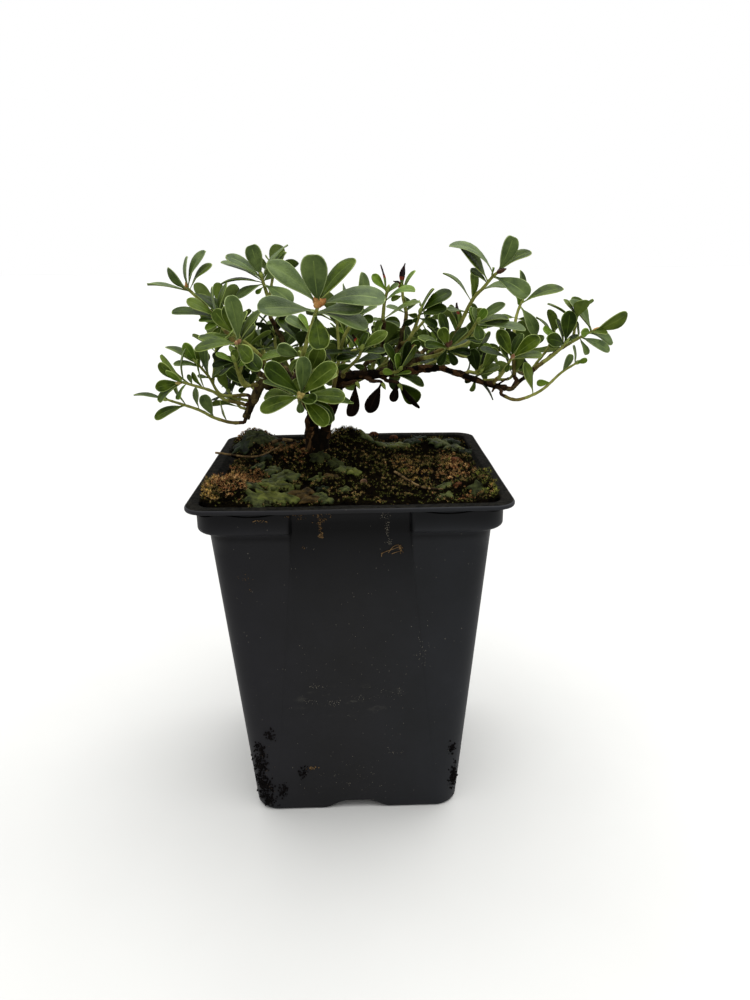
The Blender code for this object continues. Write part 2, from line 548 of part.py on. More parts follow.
def tube(path, radii, sides):
    """A tapering limb with flat ends square to its path."""
    ahead = (path[1] - path[0]).normalized()
    across = ahead.orthogonal().normalized()
    rings = []
    for k, (centre, radius) in enumerate(zip(path, radii)):
        if 0 < k < len(path) - 1:
            ahead = (path[k + 1] - path[k - 1]).normalized()
        elif k:
            ahead = (path[k] - path[k - 1]).normalized()
        across = (across - ahead * across.dot(ahead)).normalized()
        other = ahead.cross(across)
        turns = (2 * math.pi * side / sides for side in range(sides))
        rings.append([centre + (across * math.cos(a) + other * math.sin(a)) * radius for a in turns])
    return loft(rings)


class Limb:
    """A tapering limb's path and thickness, which its own shoots are set on."""

    def __init__(self, path, start_radius, end_radius):
        self.path = path
        spans = [(b - a).length for a, b in zip(path, path[1:])]
        self.shares = [sum(spans[:k]) / sum(spans) for k in range(len(path))]
        self.radii = [start_radius + (end_radius - start_radius) * s for s in self.shares]

    def at(self, share):
        """Centre, direction and radius at a share of the length."""
        for k in range(1, len(self.path)):
            if share <= self.shares[k] or k == len(self.path) - 1:
                step = (share - self.shares[k - 1]) / (self.shares[k] - self.shares[k - 1])
                centre = self.path[k - 1].lerp(self.path[k], step)
                ahead = (self.path[k] - self.path[k - 1]).normalized()
                radius = self.radii[k - 1] + (self.radii[k] - self.radii[k - 1]) * step
                return centre, ahead, radius

    def seat(self, share, goal):
        """Where a shoot bound for goal starts, and its first direction."""
        centre, ahead, radius = self.at(share)
        if share >= 1:
            return centre + ahead * GAP, ahead
        out = goal - centre
        out = (out - ahead * out.dot(ahead)).normalized()
        return centre + out * (radius + GAP), out


def grow_boughs(finish, space):
    limbs = {}
    for name, parent, share, passed, end, start_radius, end_radius in BOUGHS:
        passed = [Vector(p) for p in passed]
        if parent == "trunk":
            start = Vector((*share, SOIL_PAD_Z + 2 * GAP + TRUNK_RINGS[-1][0]))
            ahead = UP
        else:
            start, ahead = limbs[parent].seat(share, passed[0])
        lead = start + ahead * (start_radius * 1.3)
        path = smooth_path([start, lead] + passed + [Vector(end)], 3)
        del path[1:3]
        limbs[name] = Limb(path, start_radius, end_radius)
        shape = tube(path, limbs[name].radii, LIMB_SIDES)
        make_object(name, shape, finish)
        space.take(name, shape, shape)
    return limbs


class Space:
    """The solids placed so far, asked whether a new one stays clear of them."""

    def __init__(self):
        self.kept = []

    @staticmethod
    def wrap(shape):
        points, faces = shape
        middle = sum((Vector(p) for p in points), Vector()) / len(points)
        reach = max((Vector(p) - middle).length for p in points)
        return middle, reach, BVHTree.FromPolygons(points, faces)

    def take(self, owner, whole, outer):
        self.kept.append((owner, self.wrap(whole), self.wrap(outer)))

    def clear(self, owner, whole, outer):
        """True where a new piece touches nothing: of its own shoot, only outer parts count."""
        new_whole, new_outer = self.wrap(whole), self.wrap(outer)
        for other, kept_whole, kept_outer in self.kept:
            new, kept = (new_outer, kept_outer) if other == owner else (new_whole, kept_whole)
            if (new[0] - kept[0]).length > new[1] + kept[1]:
                continue
            if new[2].overlap(kept[2]):
                return False
        return True


def leaf_upper(chord, axis, face):
    """The way a leaf's upper side looks: face is the share of it seen from the front.

    Without a face the upper side looks towards the shoot's axis.
    """
    if face is None:
        upper = axis - chord * axis.dot(chord)
        return (upper if upper.length > 0.15 else UP - chord * chord.z).normalized()
    front = (FRONT - chord * FRONT.dot(chord)).normalized()
    side = chord.cross(front)
    if side.dot(axis) < 0:
        side.negate()
    return front * face + side * math.sqrt(1 - face * face)


def leaf_shape(root, chord, upper, length, curl, swell=0.0, outer_only=False):
    """A leaf as a keeled blade from a point sunk in its twig, bending away from its upper side."""
    side = chord.cross(upper)
    bend = math.radians(curl)
    ahead = chord * math.cos(bend / 2) + upper * math.sin(bend / 2)
    above = upper * math.cos(bend / 2) - chord * math.sin(bend / 2)
    points = []
    for share, half, keel in LEAF_SECTIONS + ((1.0, 0.0, 0.0),):
        turn = bend * share
        run = ahead * math.sin(turn) - above * (1 - math.cos(turn))
        place = root + run * (length / bend)
        top = above * math.cos(turn) + ahead * math.sin(turn)
        out = side * (half * length + swell)
        lift = top * (LEAF_DISH * half * length + swell)
        points += [place + out + lift, place - top * (keel * length + swell), place - out + lift]
    tip = points[-2]
    points[-3:] = [tip + (tip - root).normalized() * swell]
    faces = [(0, 1, 4, 3), (1, 2, 5, 4), (2, 0, 3, 5), (3, 4, 6), (4, 5, 6), (5, 3, 6)]
    if outer_only:
        return points, faces + [(2, 1, 0)]
    points.append(root)
    return points, faces + [(7, 1, 0), (7, 2, 1), (7, 0, 2)]


def place_leaf(owner, space, root, axis, leaf):
    """The leaf's shape at the first clear direction near the one asked for, or None.

    A leaf is its heading, lean, length as a share of LEAF, face and sometimes its curl.
    """
    heading, lean, size, face = leaf[:4]
    curl = leaf[4] if len(leaf) > 4 else LEAF_CURL
    length = LEAF * size
    for turn, tip in NUDGES:
        chord = direction(heading + turn, lean + tip)
        end = root + chord * length
        if any(not low <= value <= high for low, value, high in zip(CROWN_LOW, end, CROWN_HIGH)):
            continue
        upper = leaf_upper(chord, axis, face)
        wide = [leaf_shape(root, chord, upper, length, curl, CLEAR, outer) for outer in (False, True)]
        if space.clear(owner, *wide):
            whole = leaf_shape(root, chord, upper, length, curl)
            space.take(owner, whole, leaf_shape(root, chord, upper, length, curl, 0.0, True))
            return whole
    return None


def heading_lean(way):
    return math.degrees(math.atan2(way.z, way.x)), math.degrees(math.asin(max(-1, min(1, -way.y))))


def whorl(owner, space, rng, centre, axis, count, spread):
    """Leaves set round a shoot's tip by the golden angle, the inner ones short and upright."""
    across = axis.orthogonal().normalized()
    start = rng.uniform(0, 2 * math.pi)
    made = []
    for k in range(count):
        spin = Matrix.Rotation(start + k * GOLDEN, 3, axis)
        tilt = math.radians(WHORL_TILT + spread * (k + 1) / count)
        way = axis * math.cos(tilt) + (spin @ across) * math.sin(tilt)
        way = (way + UP * 0.12).normalized()
        size = (INNER_LEAF + (1 - INNER_LEAF) * min(1, (k + 1) / 3)) * rng.uniform(0.82, 1.05)
        root = centre - axis * (LEAF_STEP * k)
        curl = LEAF_CURL + rng.uniform(-CURL_RANGE, CURL_RANGE)
        made.append(place_leaf(owner, space, root, axis, (*heading_lean(way), size, None, curl)))
    return made


def side_twig(owner, space, rng, main, share, turn):
    """A short seeded twig with its own whorl, or nothing where it would touch a neighbour."""
    centre, ahead, _ = main.at(share)
    across = Matrix.Rotation(turn, 3, ahead) @ ahead.orthogonal().normalized()
    spread = math.radians(SIDE_TWIG_SPREAD + rng.uniform(-8, 8))
    way = (ahead * math.cos(spread) + across * math.sin(spread) + UP * 0.15).normalized()
    length = SIDE_TWIG_LENGTH * rng.uniform(0.8, 1.25)
    tip = centre + way * length * 0.95 + UP * length * 0.12
    path = bezier_path(centre, centre + way * length * 0.4, tip - way * length * 0.3, tip, 3)
    twig = Limb(path, SIDE_TWIG_RADIUS, TWIG_TIP_RADIUS)
    shape = tube(path, twig.radii, 3)
    outer = tube(path[1:], twig.radii[1:], 3)
    if not space.clear(owner, tube(path, [r + CLEAR for r in twig.radii], 3), outer):
        return []
    space.take(owner, shape, outer)
    end_way = (path[-1] - path[-2]).normalized()
    centre = tip - end_way * LEAF_STEP
    return [shape] + whorl(owner, space, rng, centre, end_way, SIDE_WHORL, SIDE_SPREAD)


def lead_twig(entry, limbs, space):
    """The twig a shoot stands on, its tip moved a little where it would touch another piece."""
    name, parent, share, passed, tip, facing = entry[:6]
    facing = direction(*facing)
    passed = [Vector(p) for p in passed]
    start, ahead = limbs[parent].seat(share, passed[0] if passed else Vector(tip))
    thick = min(TWIG_RADIUS, limbs[parent].at(share)[2])
    for turn, rise in NUDGES:
        goal = Vector(tip) + Vector((turn, rise, turn - rise)) * TWIG_NUDGE
        reach = (goal - start).length
        if passed:
            path = smooth_path([start, start + ahead * 1.5] + passed + [goal], 3)
            del path[1:3]
        else:
            handle = reach * TWIG_HANDLE
            path = bezier_path(start, start + ahead * handle, goal - facing * handle, goal, TWIG_RINGS)
        twig = Limb(path, thick, TWIG_TIP_RADIUS)
        wide = tube(path[1:], [radius + CLEAR for radius in twig.radii[1:]], 3)
        if space.clear(name, wide, wide):
            shape = tube(path, twig.radii, 3)
            space.take(name, shape, shape)
            return twig
    raise ValueError(name + " has no clear way to its tip")


def grow_shoot(entry, main, space):
    """All pieces of one leafy shoot: its twig, its set leaves, and the seeded twigs and leaves."""
    name = entry[0]
    side_twigs, seed, nodes = entry[6:]
    rng = random.Random(seed)
    pieces = [tube(main.path, main.radii, 3)]
    for node_share, leaves in nodes:
        centre, along, _ = main.at(node_share)
        for k, leaf in enumerate(leaves):
            root = centre - along * (LEAF_STEP * (k + 1))
            pieces.append(place_leaf(name, space, root, along, leaf))
        if not leaves:
            inside = centre - along * LEAF_STEP
            pieces += whorl(name, space, rng, inside, along, TIP_WHORL, TIP_SPREAD)
            for k in range(STEM_LEAVES):
                node, stem, _ = main.at(0.5 + 0.14 * k)
                pieces += whorl(name, space, rng, node, stem, 1, STEM_SPREAD)
    for k in range(side_twigs):
        place = 0.35 + 0.4 * (k + rng.uniform(0.2, 0.8)) / side_twigs
        pieces += side_twig(name, space, rng, main, place, rng.uniform(0, 1) + k * GOLDEN)
    return [piece for piece in pieces if piece]


def fuse(name, pieces, finish):
    """One closed body from pieces that reach into each other."""
    made = make_object(name, pieces[0], finish)
    group = bpy.data.collections.new(name + "_pieces")
    bpy.context.scene.collection.children.link(group)
    for k, piece in enumerate(pieces[1:]):
        make_object(f"{name}_piece_{k}", piece, finish, group)
    join = made.modifiers.new("join", "BOOLEAN")
    join.operation = "UNION"
    join.operand_type = "COLLECTION"
    join.collection = group
    join.solver = "EXACT"
    bpy.context.view_layer.update()
    graph = bpy.context.evaluated_depsgraph_get()
    joined = bpy.data.meshes.new_from_object(made.evaluated_get(graph), depsgraph=graph)
    made.modifiers.remove(join)
    made.data = joined
    for item in list(group.objects):
        bpy.data.objects.remove(item, do_unlink=True)
    bpy.data.collections.remove(group)
    drop_scraps(joined)
    return made


def drop_scraps(mesh):
    """Keeps the largest connected surface, without loose scraps or the walls of sealed hollows."""
    shape = bmesh.new()
    shape.from_mesh(mesh)
    bmesh.ops.triangulate(shape, faces=shape.faces)
    left, groups = set(shape.verts), []
    while left:
        found, edge = set(), [left.pop()]
        while edge:
            vert = edge.pop()
            found.add(vert)
            near = {link.other_vert(vert) for link in vert.link_edges} & left
            left -= near
            edge.extend(near)
        groups.append(found)
    groups.sort(key=len)
    extra = [vert for group in groups[:-1] for vert in group]
    bmesh.ops.delete(shape, geom=extra, context="VERTS")
    shape.to_mesh(mesh)
    shape.free()


def drill_drains(pot):
    """Four round holes through the floor of the pot."""
    for x in (-DRAIN_PLACE, DRAIN_PLACE):
        for y in (-DRAIN_PLACE, DRAIN_PLACE):
            turns = [2 * math.pi * k / DRAIN_SIDES for k in range(DRAIN_SIDES)]
            rings = [
                [Vector((x + DRAIN_RADIUS * math.cos(a), y + DRAIN_RADIUS * math.sin(a), z)) for a in turns]
                for z in (-WALL, 2 * WALL)
            ]
            cutter = make_object("drain_cutter", loft(rings), pot.data.materials[0])
            cut = pot.modifiers.new("drain", "BOOLEAN")
            cut.operation = "DIFFERENCE"
            cut.object = cutter
            bpy.context.view_layer.update()
            graph = bpy.context.evaluated_depsgraph_get()
            holed = bpy.data.meshes.new_from_object(pot.evaluated_get(graph), depsgraph=graph)
            pot.modifiers.remove(cut)
            pot.data = holed
            bpy.data.objects.remove(cutter, do_unlink=True)


def main():
    clear_scene()
    pot_finish = material("black_polypropylene", POT_COLOUR, 0.45)
    soil_finish = material("mossy_soil", SOIL_COLOUR, 0.95)
    bark_finish = material("flaking_bark", BARK_COLOUR, 0.85)
    leaf_finish = material("leathery_leaf", LEAF_COLOUR, 0.5)
    pot = make_object("pot", pot_shape(), pot_finish)
    drill_drains(pot)
    make_object("soil", soil_shape(), soil_finish)
    space = Space()
    trunk = trunk_shape()
    make_object("trunk", trunk, bark_finish)
    space.take("trunk", trunk, trunk)
    limbs = grow_boughs(bark_finish, space)
    twigs = [lead_twig(entry, limbs, space) for entry in SHOOTS]
    for entry, twig in zip(SHOOTS, twigs):
        fuse(entry[0], grow_shoot(entry, twig, space), leaf_finish)


main()
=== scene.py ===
"""Looks of an evergreen bearberry shrub in its square nursery pot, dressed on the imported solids.

Lengths in the tables are millimetres, +Z is up and the front of the pot faces -Y. Meshes are made
in metres. Directions are pairs in degrees: the heading in the front view, anticlockwise from +X,
and the lean towards the front.
"""

import random
from functools import partial
from math import asin, atan2, copysign, cos, degrees, exp, hypot, pi, radians, sin, sqrt

import bpy
import numpy as np
from mathutils import Matrix, Vector, noise
from mathutils.bvhtree import BVHTree


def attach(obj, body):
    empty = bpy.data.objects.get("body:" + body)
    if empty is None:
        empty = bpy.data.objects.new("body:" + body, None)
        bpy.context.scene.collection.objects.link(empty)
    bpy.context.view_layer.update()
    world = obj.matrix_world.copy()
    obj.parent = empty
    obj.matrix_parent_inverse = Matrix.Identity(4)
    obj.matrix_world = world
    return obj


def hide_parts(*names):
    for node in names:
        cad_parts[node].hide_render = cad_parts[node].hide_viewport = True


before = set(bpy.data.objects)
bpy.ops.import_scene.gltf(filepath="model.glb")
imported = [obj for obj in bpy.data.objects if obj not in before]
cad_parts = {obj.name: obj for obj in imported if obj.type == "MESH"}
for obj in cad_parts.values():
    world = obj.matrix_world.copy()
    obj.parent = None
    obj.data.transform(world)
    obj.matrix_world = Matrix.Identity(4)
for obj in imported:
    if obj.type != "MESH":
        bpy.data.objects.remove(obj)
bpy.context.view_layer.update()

MM = 0.001
GAP = 0.35  # air between a shoot and the limb that carries it
CLEAR = 0.45  # air kept round a leaf or twig when it is placed
GOLDEN = radians(137.5)
UP = Vector((0, 0, 1))
FRONT = Vector((0, -1, 0))

# Studio: the photograph's own lens and place in mm and degrees, a white dome and one broad sun.
CAMERA_PLACE = (2.46, -306.6, 215.7)
CAMERA_PITCH = 17.68
CAMERA_YAW = 1.35
CAMERA_ROLL = -0.70
CAMERA_LENS = 28.23
CAMERA_SENSOR = 36.0
DOME = 1.0
SUN = 4.6
SUN_WIDTH = 80.0
SUN_FROM = (0.12, 0.1, 1.0)
FLOOR_LOW, FLOOR_HIGH = "#b0b0ae", "#b4b4b2"
FLOOR_HALF = 8.0  # metres

# Pot: a thin moulded square tub with a flat rim, a stacking collar at its corners, a sunk panel
# on each side and an arch under the middle of each side.
POT_HEIGHT = 133.0
RIM_HALF = 57.0
RIM_THICK = 1.6
RIM_RADIUS = 8.3
COLLAR_HALF = 53.8
COLLAR_RADIUS = 9.0
COLLAR_FOOT = 121.7
SHOULDER_HEIGHT = 3.0
WALL_TOP_HALF = 50.3
WALL_FOOT_HALF = 40.8
WALL_TOP_RADIUS = 8.5
WALL_FOOT_RADIUS = 9.5
WALL = 1.2
PANEL_TOP_HALF = 21.3
PANEL_FOOT_HALF = 33.0
PANEL_DEPTH = 0.8
PANEL_EDGE = 1.0
ARCH_HALF = 13.5
ARCH_FLAT = 4.0
ARCH_RISE = 3.15
ARCH_FADE = 9.0
FOOT_ROUND = 1.0
FOOT_HEIGHT = 1.3
BASE_HALF = 22.0
BASE_RADIUS = 6.0
DRAIN_RADIUS = 4.0
DRAIN_PLACE = 12.5
# Flange section: how far in from its edge, and height over its underside.
FLANGE_SECTION = (
    (0.5, 0.0), (0.15, 0.12), (0.0, 0.45), (0.0, 1.1), (0.15, 1.45), (0.5, 1.6), (2.4, 1.6),
    (4.2, 1.6), (4.6, 1.45), (4.75, 1.0),
)
FLANGE_DIRT_FROM = (0.5, 1.6)  # from here inwards the flange is smeared with peat
FLANGE_DIRT_RINGS = 12
FLANGE_WAVE = 0.35
# Thin webs under the flange, each sagging in an arc between its ends.
WEB_SAG = 1.9
WEB_LEDGE = 0.3
WEB_RIM = 0.55
WEB_REACH = 2.0
WEB_BACK = -0.3
WEB_STEPS = 20
# How finely the pot's round corners, soft panel edges and levels are drawn.
POT_CORNER_STEPS = 12
POT_ARCH_STEPS = 9
POT_EDGE_SHARES = (0.0, 0.2, 0.5, 0.8, 1.0)
POT_FOOT_STEPS = 6
POT_WALL_LEVELS = 14
SHOULDER_STEPS = 7

# Dirt and painted shade on the pot. Painted shade under the flange darkens the plastic towards the top, as
# (share of the way up between the two heights below, tint).
SHADE_FROM, SHADE_TO = 78.0, 131.4
PANEL_SHADE = (
    (0.0, "#ffffff"), (0.37, "#f0f0f0"), (0.5, "#dbdbdb"), (0.6, "#cbcbcb"), (0.7, "#bababa"),
    (0.75, "#afafaf"), (0.8, "#9b9b9b"), (0.845, "#7c7c7c"), (0.895, "#868686"), (0.94, "#bababa"),
    (0.995, "#bababa"), (1.0, "#ffffff"),
)
# The collars get less painted shade under the flange, and none along their lit shoulder.
COLLAR_SHADE = (
    (0.0, "#ffffff"), (0.36, "#f3f3f3"), (0.55, "#ededed"), (0.76, "#ededed"), (0.795, "#bcbcbc"),
    (0.82, "#ffffff"), (0.86, "#ffffff"), (0.895, "#d6d6d6"), (0.94, "#b4b4b4"), (0.995, "#b4b4b4"),
    (1.0, "#ffffff"),
)
# Painted shade by side: darker and warmer to the left, none to the right.
SIDE_TINTS = ((0.0, "#ece6e6"), (0.5, "#f3ede6"), (0.9, "#ffffff"))  # from 40 mm left to 40 mm right
# Grains of dust in patches: cell, radius as a share of the cell, and share of the cells.
DUST_GRAINS = ((3.03, 0.055, 0.12), (1.4286, 0.085, 0.14))
SPLASH_Z, SPLASH_REACH = 52.5, 9.0  # dried splashes in a band about this high
# Crumbs on the outside: x, z, spread in x and z, count, colour, size.
WALL_CRUMBS = (
    (-10.4, 129.6, 3.6, 0.9, 60, "crumb", 0.36),
    (-10.4, 127.2, 1.2, 1.4, 30, "crumb", 0.34),
    (-10.6, 124.2, 0.5, 2.4, 34, "crumb", 0.34),
    (-10.4, 121.0, 0.9, 0.9, 34, "crumb", 0.4),
    (-19.7, 129.6, 2.6, 0.8, 30, "crumb", 0.3),
    (-17.5, 127.6, 1.2, 0.6, 8, "crumb", 0.25),
    (11.2, 129.2, 1.8, 1.4, 30, "dust_and_shade", 0.2),
    (12.6, 123.6, 0.7, 3.4, 50, "dust_and_shade", 0.2),
    (13.4, 118.2, 0.8, 1.2, 16, "dust_and_shade", 0.2),
    (-16.5, 116.7, 0.4, 0.4, 4, "crumb", 0.3),
    (-13.0, 115.8, 0.3, 0.3, 2, "dust_and_shade", 0.25),
    (-37.7, 105.4, 2.4, 1.6, 12, "crumb", 0.22),
    (-36.6, 100.4, 0.5, 0.5, 2, "crumb", 0.35),
    (-17.6, 20.6, 2.0, 0.9, 26, "crumb", 0.4),
    (-15.0, 58.6, 2.4, 0.9, 26, "dust_and_shade", 0.17),
    (-17.0, 52.0, 2.0, 0.8, 14, "dust_and_shade", 0.15),
    (-8.0, 51.0, 2.6, 1.1, 24, "dust_and_shade", 0.17),
    (3.0, 53.0, 5.0, 1.0, 20, "dust_and_shade", 0.14),
    (13.0, 54.0, 4.0, 2.4, 18, "dust_and_shade", 0.14),
    (15.5, 27.0, 3.6, 0.6, 20, "dust_and_shade", 0.13),
    (25.5, 72.0, 2.0, 6.0, 40, "dust_and_shade", 0.15),
    (-36.5, 18.0, 3.4, 12.0, 46, "crumb", 0.16),
    (0.0, 14.0, 16.0, 7.0, 50, "dust_and_shade", 0.13),
    (17.4, 115.4, 0.6, 1.0, 18, "crumb", 0.32),
    (0.0, 70.0, 26.0, 44.0, 90, "dust_and_shade", 0.16),
    (-31.2, 128.4, 2.4, 0.5, 24, "crumb", 0.3),
)
CRUMB_LOWEST = 0.8
# Rootlets stuck to the wall, as (x, z) points.
WALL_ROOTS = (
    ((10.4, 113.8), (12.6, 114.7), (15.2, 115.6), (17.6, 116.7)),
    ((10.6, 112.6), (10.8, 113.7), (12.2, 114.6)),
    ((16.6, 116.2), (17.6, 115.2), (17.2, 113.8)),
    ((13.0, 114.0), (14.6, 116.2), (16.4, 117.0), (17.8, 116.0)),
    ((14.2, 113.6), (15.8, 114.2), (17.8, 114.8)),
)
# Wet clods on the lower corners: x, z, spread in x and z, count.
CLODS = (
    (-33.4, 37.0, 1.8, 2.4, 50),
    (-37.4, 29.0, 1.8, 3.4, 80),
    (-38.0, 21.0, 2.6, 4.2, 150),
    (-37.2, 12.5, 3.4, 4.2, 200),
    (-36.4, 5.0, 3.6, 2.8, 150),
    (-29.4, 10.0, 1.9, 3.2, 60),
    (-20.6, 18.6, 1.8, 2.4, 36),
    (38.0, 28.0, 1.4, 2.8, 40),
    (39.2, 13.0, 1.6, 6.0, 150),
)

# Soil: the fill under its moss, as wide mounds of (x, y, reach, rise) over a level edge.
SOIL_EDGE = 129.7
SOIL_INSET = 0.4
SOIL_FLOOR_INSET = 1.0
MOUND_FALL = 1.6
TRUNK_X, TRUNK_Y = -14.0, 8.0
SOIL_PAD_Z = 136.5
SOIL_PAD_RADIUS = 8.5
PAD_REACH = 18.0
SOIL_ROUGH = 0.9
SOIL_FINE_RINGS = 58
MOUNDS = (
    (-8, 12, 36, 5.5),
    (-1, 36, 13, 7.5),
    (-43, 37, 14, 9.0),
    (-42, -38, 15, 6.0),
    (40, -8, 17, 4.0),
    (44, -36, 10, 4.5),
    (35, 40, 16, 2.5),
    (0, -36, 22, 1.5),
)

# Moss: round clumps, and a shoot's whorls as (share of its height, leaflets, rise, reach in mm).
MOSS_SPACING = 1.1
MOSS_CLUMP = 5.5
MOSS_DOME = 2.5
MOSS_RIGHT_LIFT = 1.3  # the moss climbs the wall on the right
MOSS_EDGE_LIFT = 1.1  # and a little on every wall
MOSS_WHORLS = ((0.4, 3, 0.15, 1.0), (0.8, 4, 0.5, 0.9), (1.0, 4, 1.1, 0.55))
MOSS_LEAFLET = 0.14
MOSS_PATCH = 0.4  # patches of one tone, about this many to 1 mm
# Each tone's darker and lighter colours, drifting in patches; the dark tone is partly dark moss and partly
# painted shade.
MOSS_COLOURS = {
    "tan": ("#5a4320", "#d6ae72"), "gold": ("#4a3a16", "#b8954f"), "bronze": ("#352a18", "#9c7f52"),
    "olive": ("#1e200b", "#5e602e"), "brown": ("#2c190b", "#a8744a"), "green": ("#303610", "#85883c"),
    "rust": ("#41230f", "#a3703f"), "dark": ("#070503", "#1c180c"),
}
# The tones within a cushion, each with the share of its shoots up to and with that tone.
MOSS_MIXES = {
    "tan": ((0.12, "green"), (0.24, "gold"), (0.42, "brown"), (0.84, "tan"), (1.0, "rust")),
    "gold": ((0.14, "green"), (0.3, "olive"), (0.76, "gold"), (1.0, "tan")),
    "bronze": ((0.22, "dark"), (0.46, "olive"), (0.94, "bronze"), (1.0, "gold")),
    "olive": ((0.25, "dark"), (0.75, "olive"), (1.0, "bronze")),
    "brown": ((0.26, "dark"), (0.4, "bronze"), (0.78, "brown"), (1.0, "rust")),
    "green": ((0.1, "olive"), (0.8, "green"), (1.0, "gold")),
    "rust": ((0.2, "dark"), (0.45, "brown"), (0.85, "rust"), (1.0, "tan")),
    "dark": ((0.4, "dark"), (0.62, "olive"), (0.92, "bronze"), (1.0, "brown")),
}
# The darker tone painted as shade under a moss shoot's tip and in the gaps between clumps.
MOSS_UNDER = {
    "tan": "brown", "gold": "bronze", "bronze": "olive", "olive": "dark", "brown": "bronze",
    "green": "olive", "rust": "brown", "dark": "dark",
}
# The share of a whorl's leaflets that are lit, from the lowest whorl up.
MOSS_LIT = (0.15, 0.6, 0.85)
# Moss cushions: x, y, reach, colour, shoot height.
MOSS = (
    (-43, -40, 9, "tan", 3.2),
    (-48, -46, 6, "gold", 2.8),
    (-50, -38, 5, "gold", 3.0),
    (-45, -26, 7, "brown", 3.0),
    (-37, -27, 6, "rust", 2.6),
    (-47, -12, 9, "brown", 3.0),
    (-36, -12, 7, "brown", 2.4),
    (-48, 8, 7, "dark", 1.6),
    (-44, 41, 11, "brown", 1.4),
    (-34, 26, 7, "brown", 2.0),
    (-26, 16, 7, "brown", 2.2),
    (-22, 0, 6, "brown", 1.8),
    (-20, -8, 7, "dark", 2.0),
    (-17, -24, 6, "bronze", 1.6),
    (-3, 36, 11, "bronze", 2.0),
    (4, 24, 9, "olive", 2.0),
    (9, 4, 9, "bronze", 1.6),
    (13, -8, 6, "bronze", 1.8),
    (20, -5, 8, "gold", 2.0),
    (26, -17, 7, "gold", 2.0),
    (33, -8, 6, "bronze", 2.0),
    (38, -12, 7, "tan", 2.6),
    (42, -20, 6, "tan", 2.6),
    (35, -17, 5, "tan", 2.0),
    (33, 10, 9, "bronze", 1.8),
    (46, 4, 7, "bronze", 1.8),
    (50.5, -25, 6.0, "green", 3.2),
    (49.0, -43.5, 6.0, "green", 3.2),
    (42.5, -46.5, 4, "rust", 2.0),
    (40, -32, 4, "bronze", 1.8),
    (0, -43, 5, "bronze", 1.6),
    (-8, -34, 4, "bronze", 1.6),
    (11, -41, 8, "bronze", 1.4),
    (23, -43, 8, "olive", 1.4),
    (15, -27, 8, "bronze", 1.4),
    (28, -30, 6, "bronze", 1.4),
    (3, -27, 6, "olive", 1.4),
)

# Liverwort lobes, laid on the ground: x, y, reach, heading, lobes, height over the peat, colour.
LIVERWORT = (
    (-32, -45.5, 6.6, 200, 5, 1.9, "grey"),
    (-26, -41, 8.6, 255, 6, 2.4, "green"),
    (-34.5, -37, 4.6, 150, 4, 2.2, "grey"),
    (-27.5, -29, 7.6, 100, 5, 2.6, "green"),
    (-25.3, -17, 6.4, 80, 4, 2.8, "grey"),
    (-31, -22, 4.2, 170, 4, 2.6, "grey"),
    (-17.5, -37, 5.4, 310, 3, 2.6, "umber"),
    (-14.5, -43, 4.2, 320, 3, 2.3, "umber"),
    (-31, -8, 4.2, 120, 4, 2.3, "grey"),
    (-37, 0, 3.6, 200, 4, 2.1, "grey"),
    (-47, 27, 5.5, 100, 5, 1.6, "dark"),
    (-41, 30, 6.5, 60, 6, 1.8, "olive"),
    (-34, 32, 5.5, 40, 5, 1.6, "olive"),
    (-27, 41, 4.6, 90, 4, 1.6, "dark"),
    (-36, 12, 4.2, 90, 5, 2.1, "dark"),
    (-12.5, -3, 4.6, 80, 5, 2.0, "olive"),
    (-6, -6, 3.8, 140, 4, 1.9, "olive"),
    (-3, -11, 4.0, 20, 4, 1.9, "grey"),
    (1, -13, 3.4, 300, 4, 1.8, "green"),
    (-12.5, -20, 3.8, 200, 4, 1.8, "grey"),
    (-7.5, -19.5, 3.8, 330, 3, 2.0, "umber"),
    (-11, -40, 3.6, 230, 5, 2.0, "grey"),
    (-8.5, -45, 3.4, 60, 4, 2.0, "grey"),
    (-10.5, -32, 3.0, 10, 4, 1.8, "dark"),
    (-2, -35, 3.4, 60, 4, 1.7, "grey"),
    (7, 33, 4.2, 100, 4, 1.7, "grey"),
    (15, 29, 5.0, 120, 5, 2.0, "grey"),
    (21, 30, 5.4, 320, 5, 2.2, "green"),
    (27, 37, 5.0, 280, 5, 2.0, "dark"),
    (31, 44, 4.6, 30, 5, 1.6, "dark"),
    (39, 34, 6.0, 100, 6, 2.2, "grey"),
    (46, 40, 5.0, 60, 5, 1.8, "dark"),
    (45, 28, 5.5, 300, 5, 2.4, "grey"),
    (50, 22, 4.5, 350, 4, 2.4, "dark"),
    (34, -32.5, 3.4, 100, 4, 2.5, "grey"),
    (33.5, -42, 3.4, 250, 5, 2.1, "grey"),
    (45, -42, 4.2, 20, 4, 2.8, "olive"),
    (-48, -19, 3.2, 150, 4, 1.6, "dark"),
)
# Each colour's lobes and their edges: two colours, roughness, gloss and patch in mm.
LOBE_COLOURS = {
    "grey": (("#171b0b", "#454a24", 0.55, 0.05, 3.333), ("#1e2512", "#414a28", 0.6, 0.05, 2.381)),
    "green": (("#20240a", "#525625", 0.5, 0.05, 3.333), ("#2b3010", "#525a26", 0.6, 0.05, 2.381)),
    "umber": (("#191306", "#41341a", 0.65, 0.04, 2.381), ("#241a0a", "#4b3a1d", 0.7, 0.04, 2.381)),
    "dark": (("#060904", "#1b2310", 0.55, 0.04, 2.381), ("#0b1006", "#242d16", 0.6, 0.04, 2.381)),
    "olive": (("#0d1005", "#2c3016", 0.6, 0.03, 2.381), ("#15180a", "#34381b", 0.6, 0.03, 2.381)),
}
LOBE_SWELLS = ((0.7, 0.3), (0.25, 0.8), (0.14, 2.0))  # depth, and swells to 1 mm
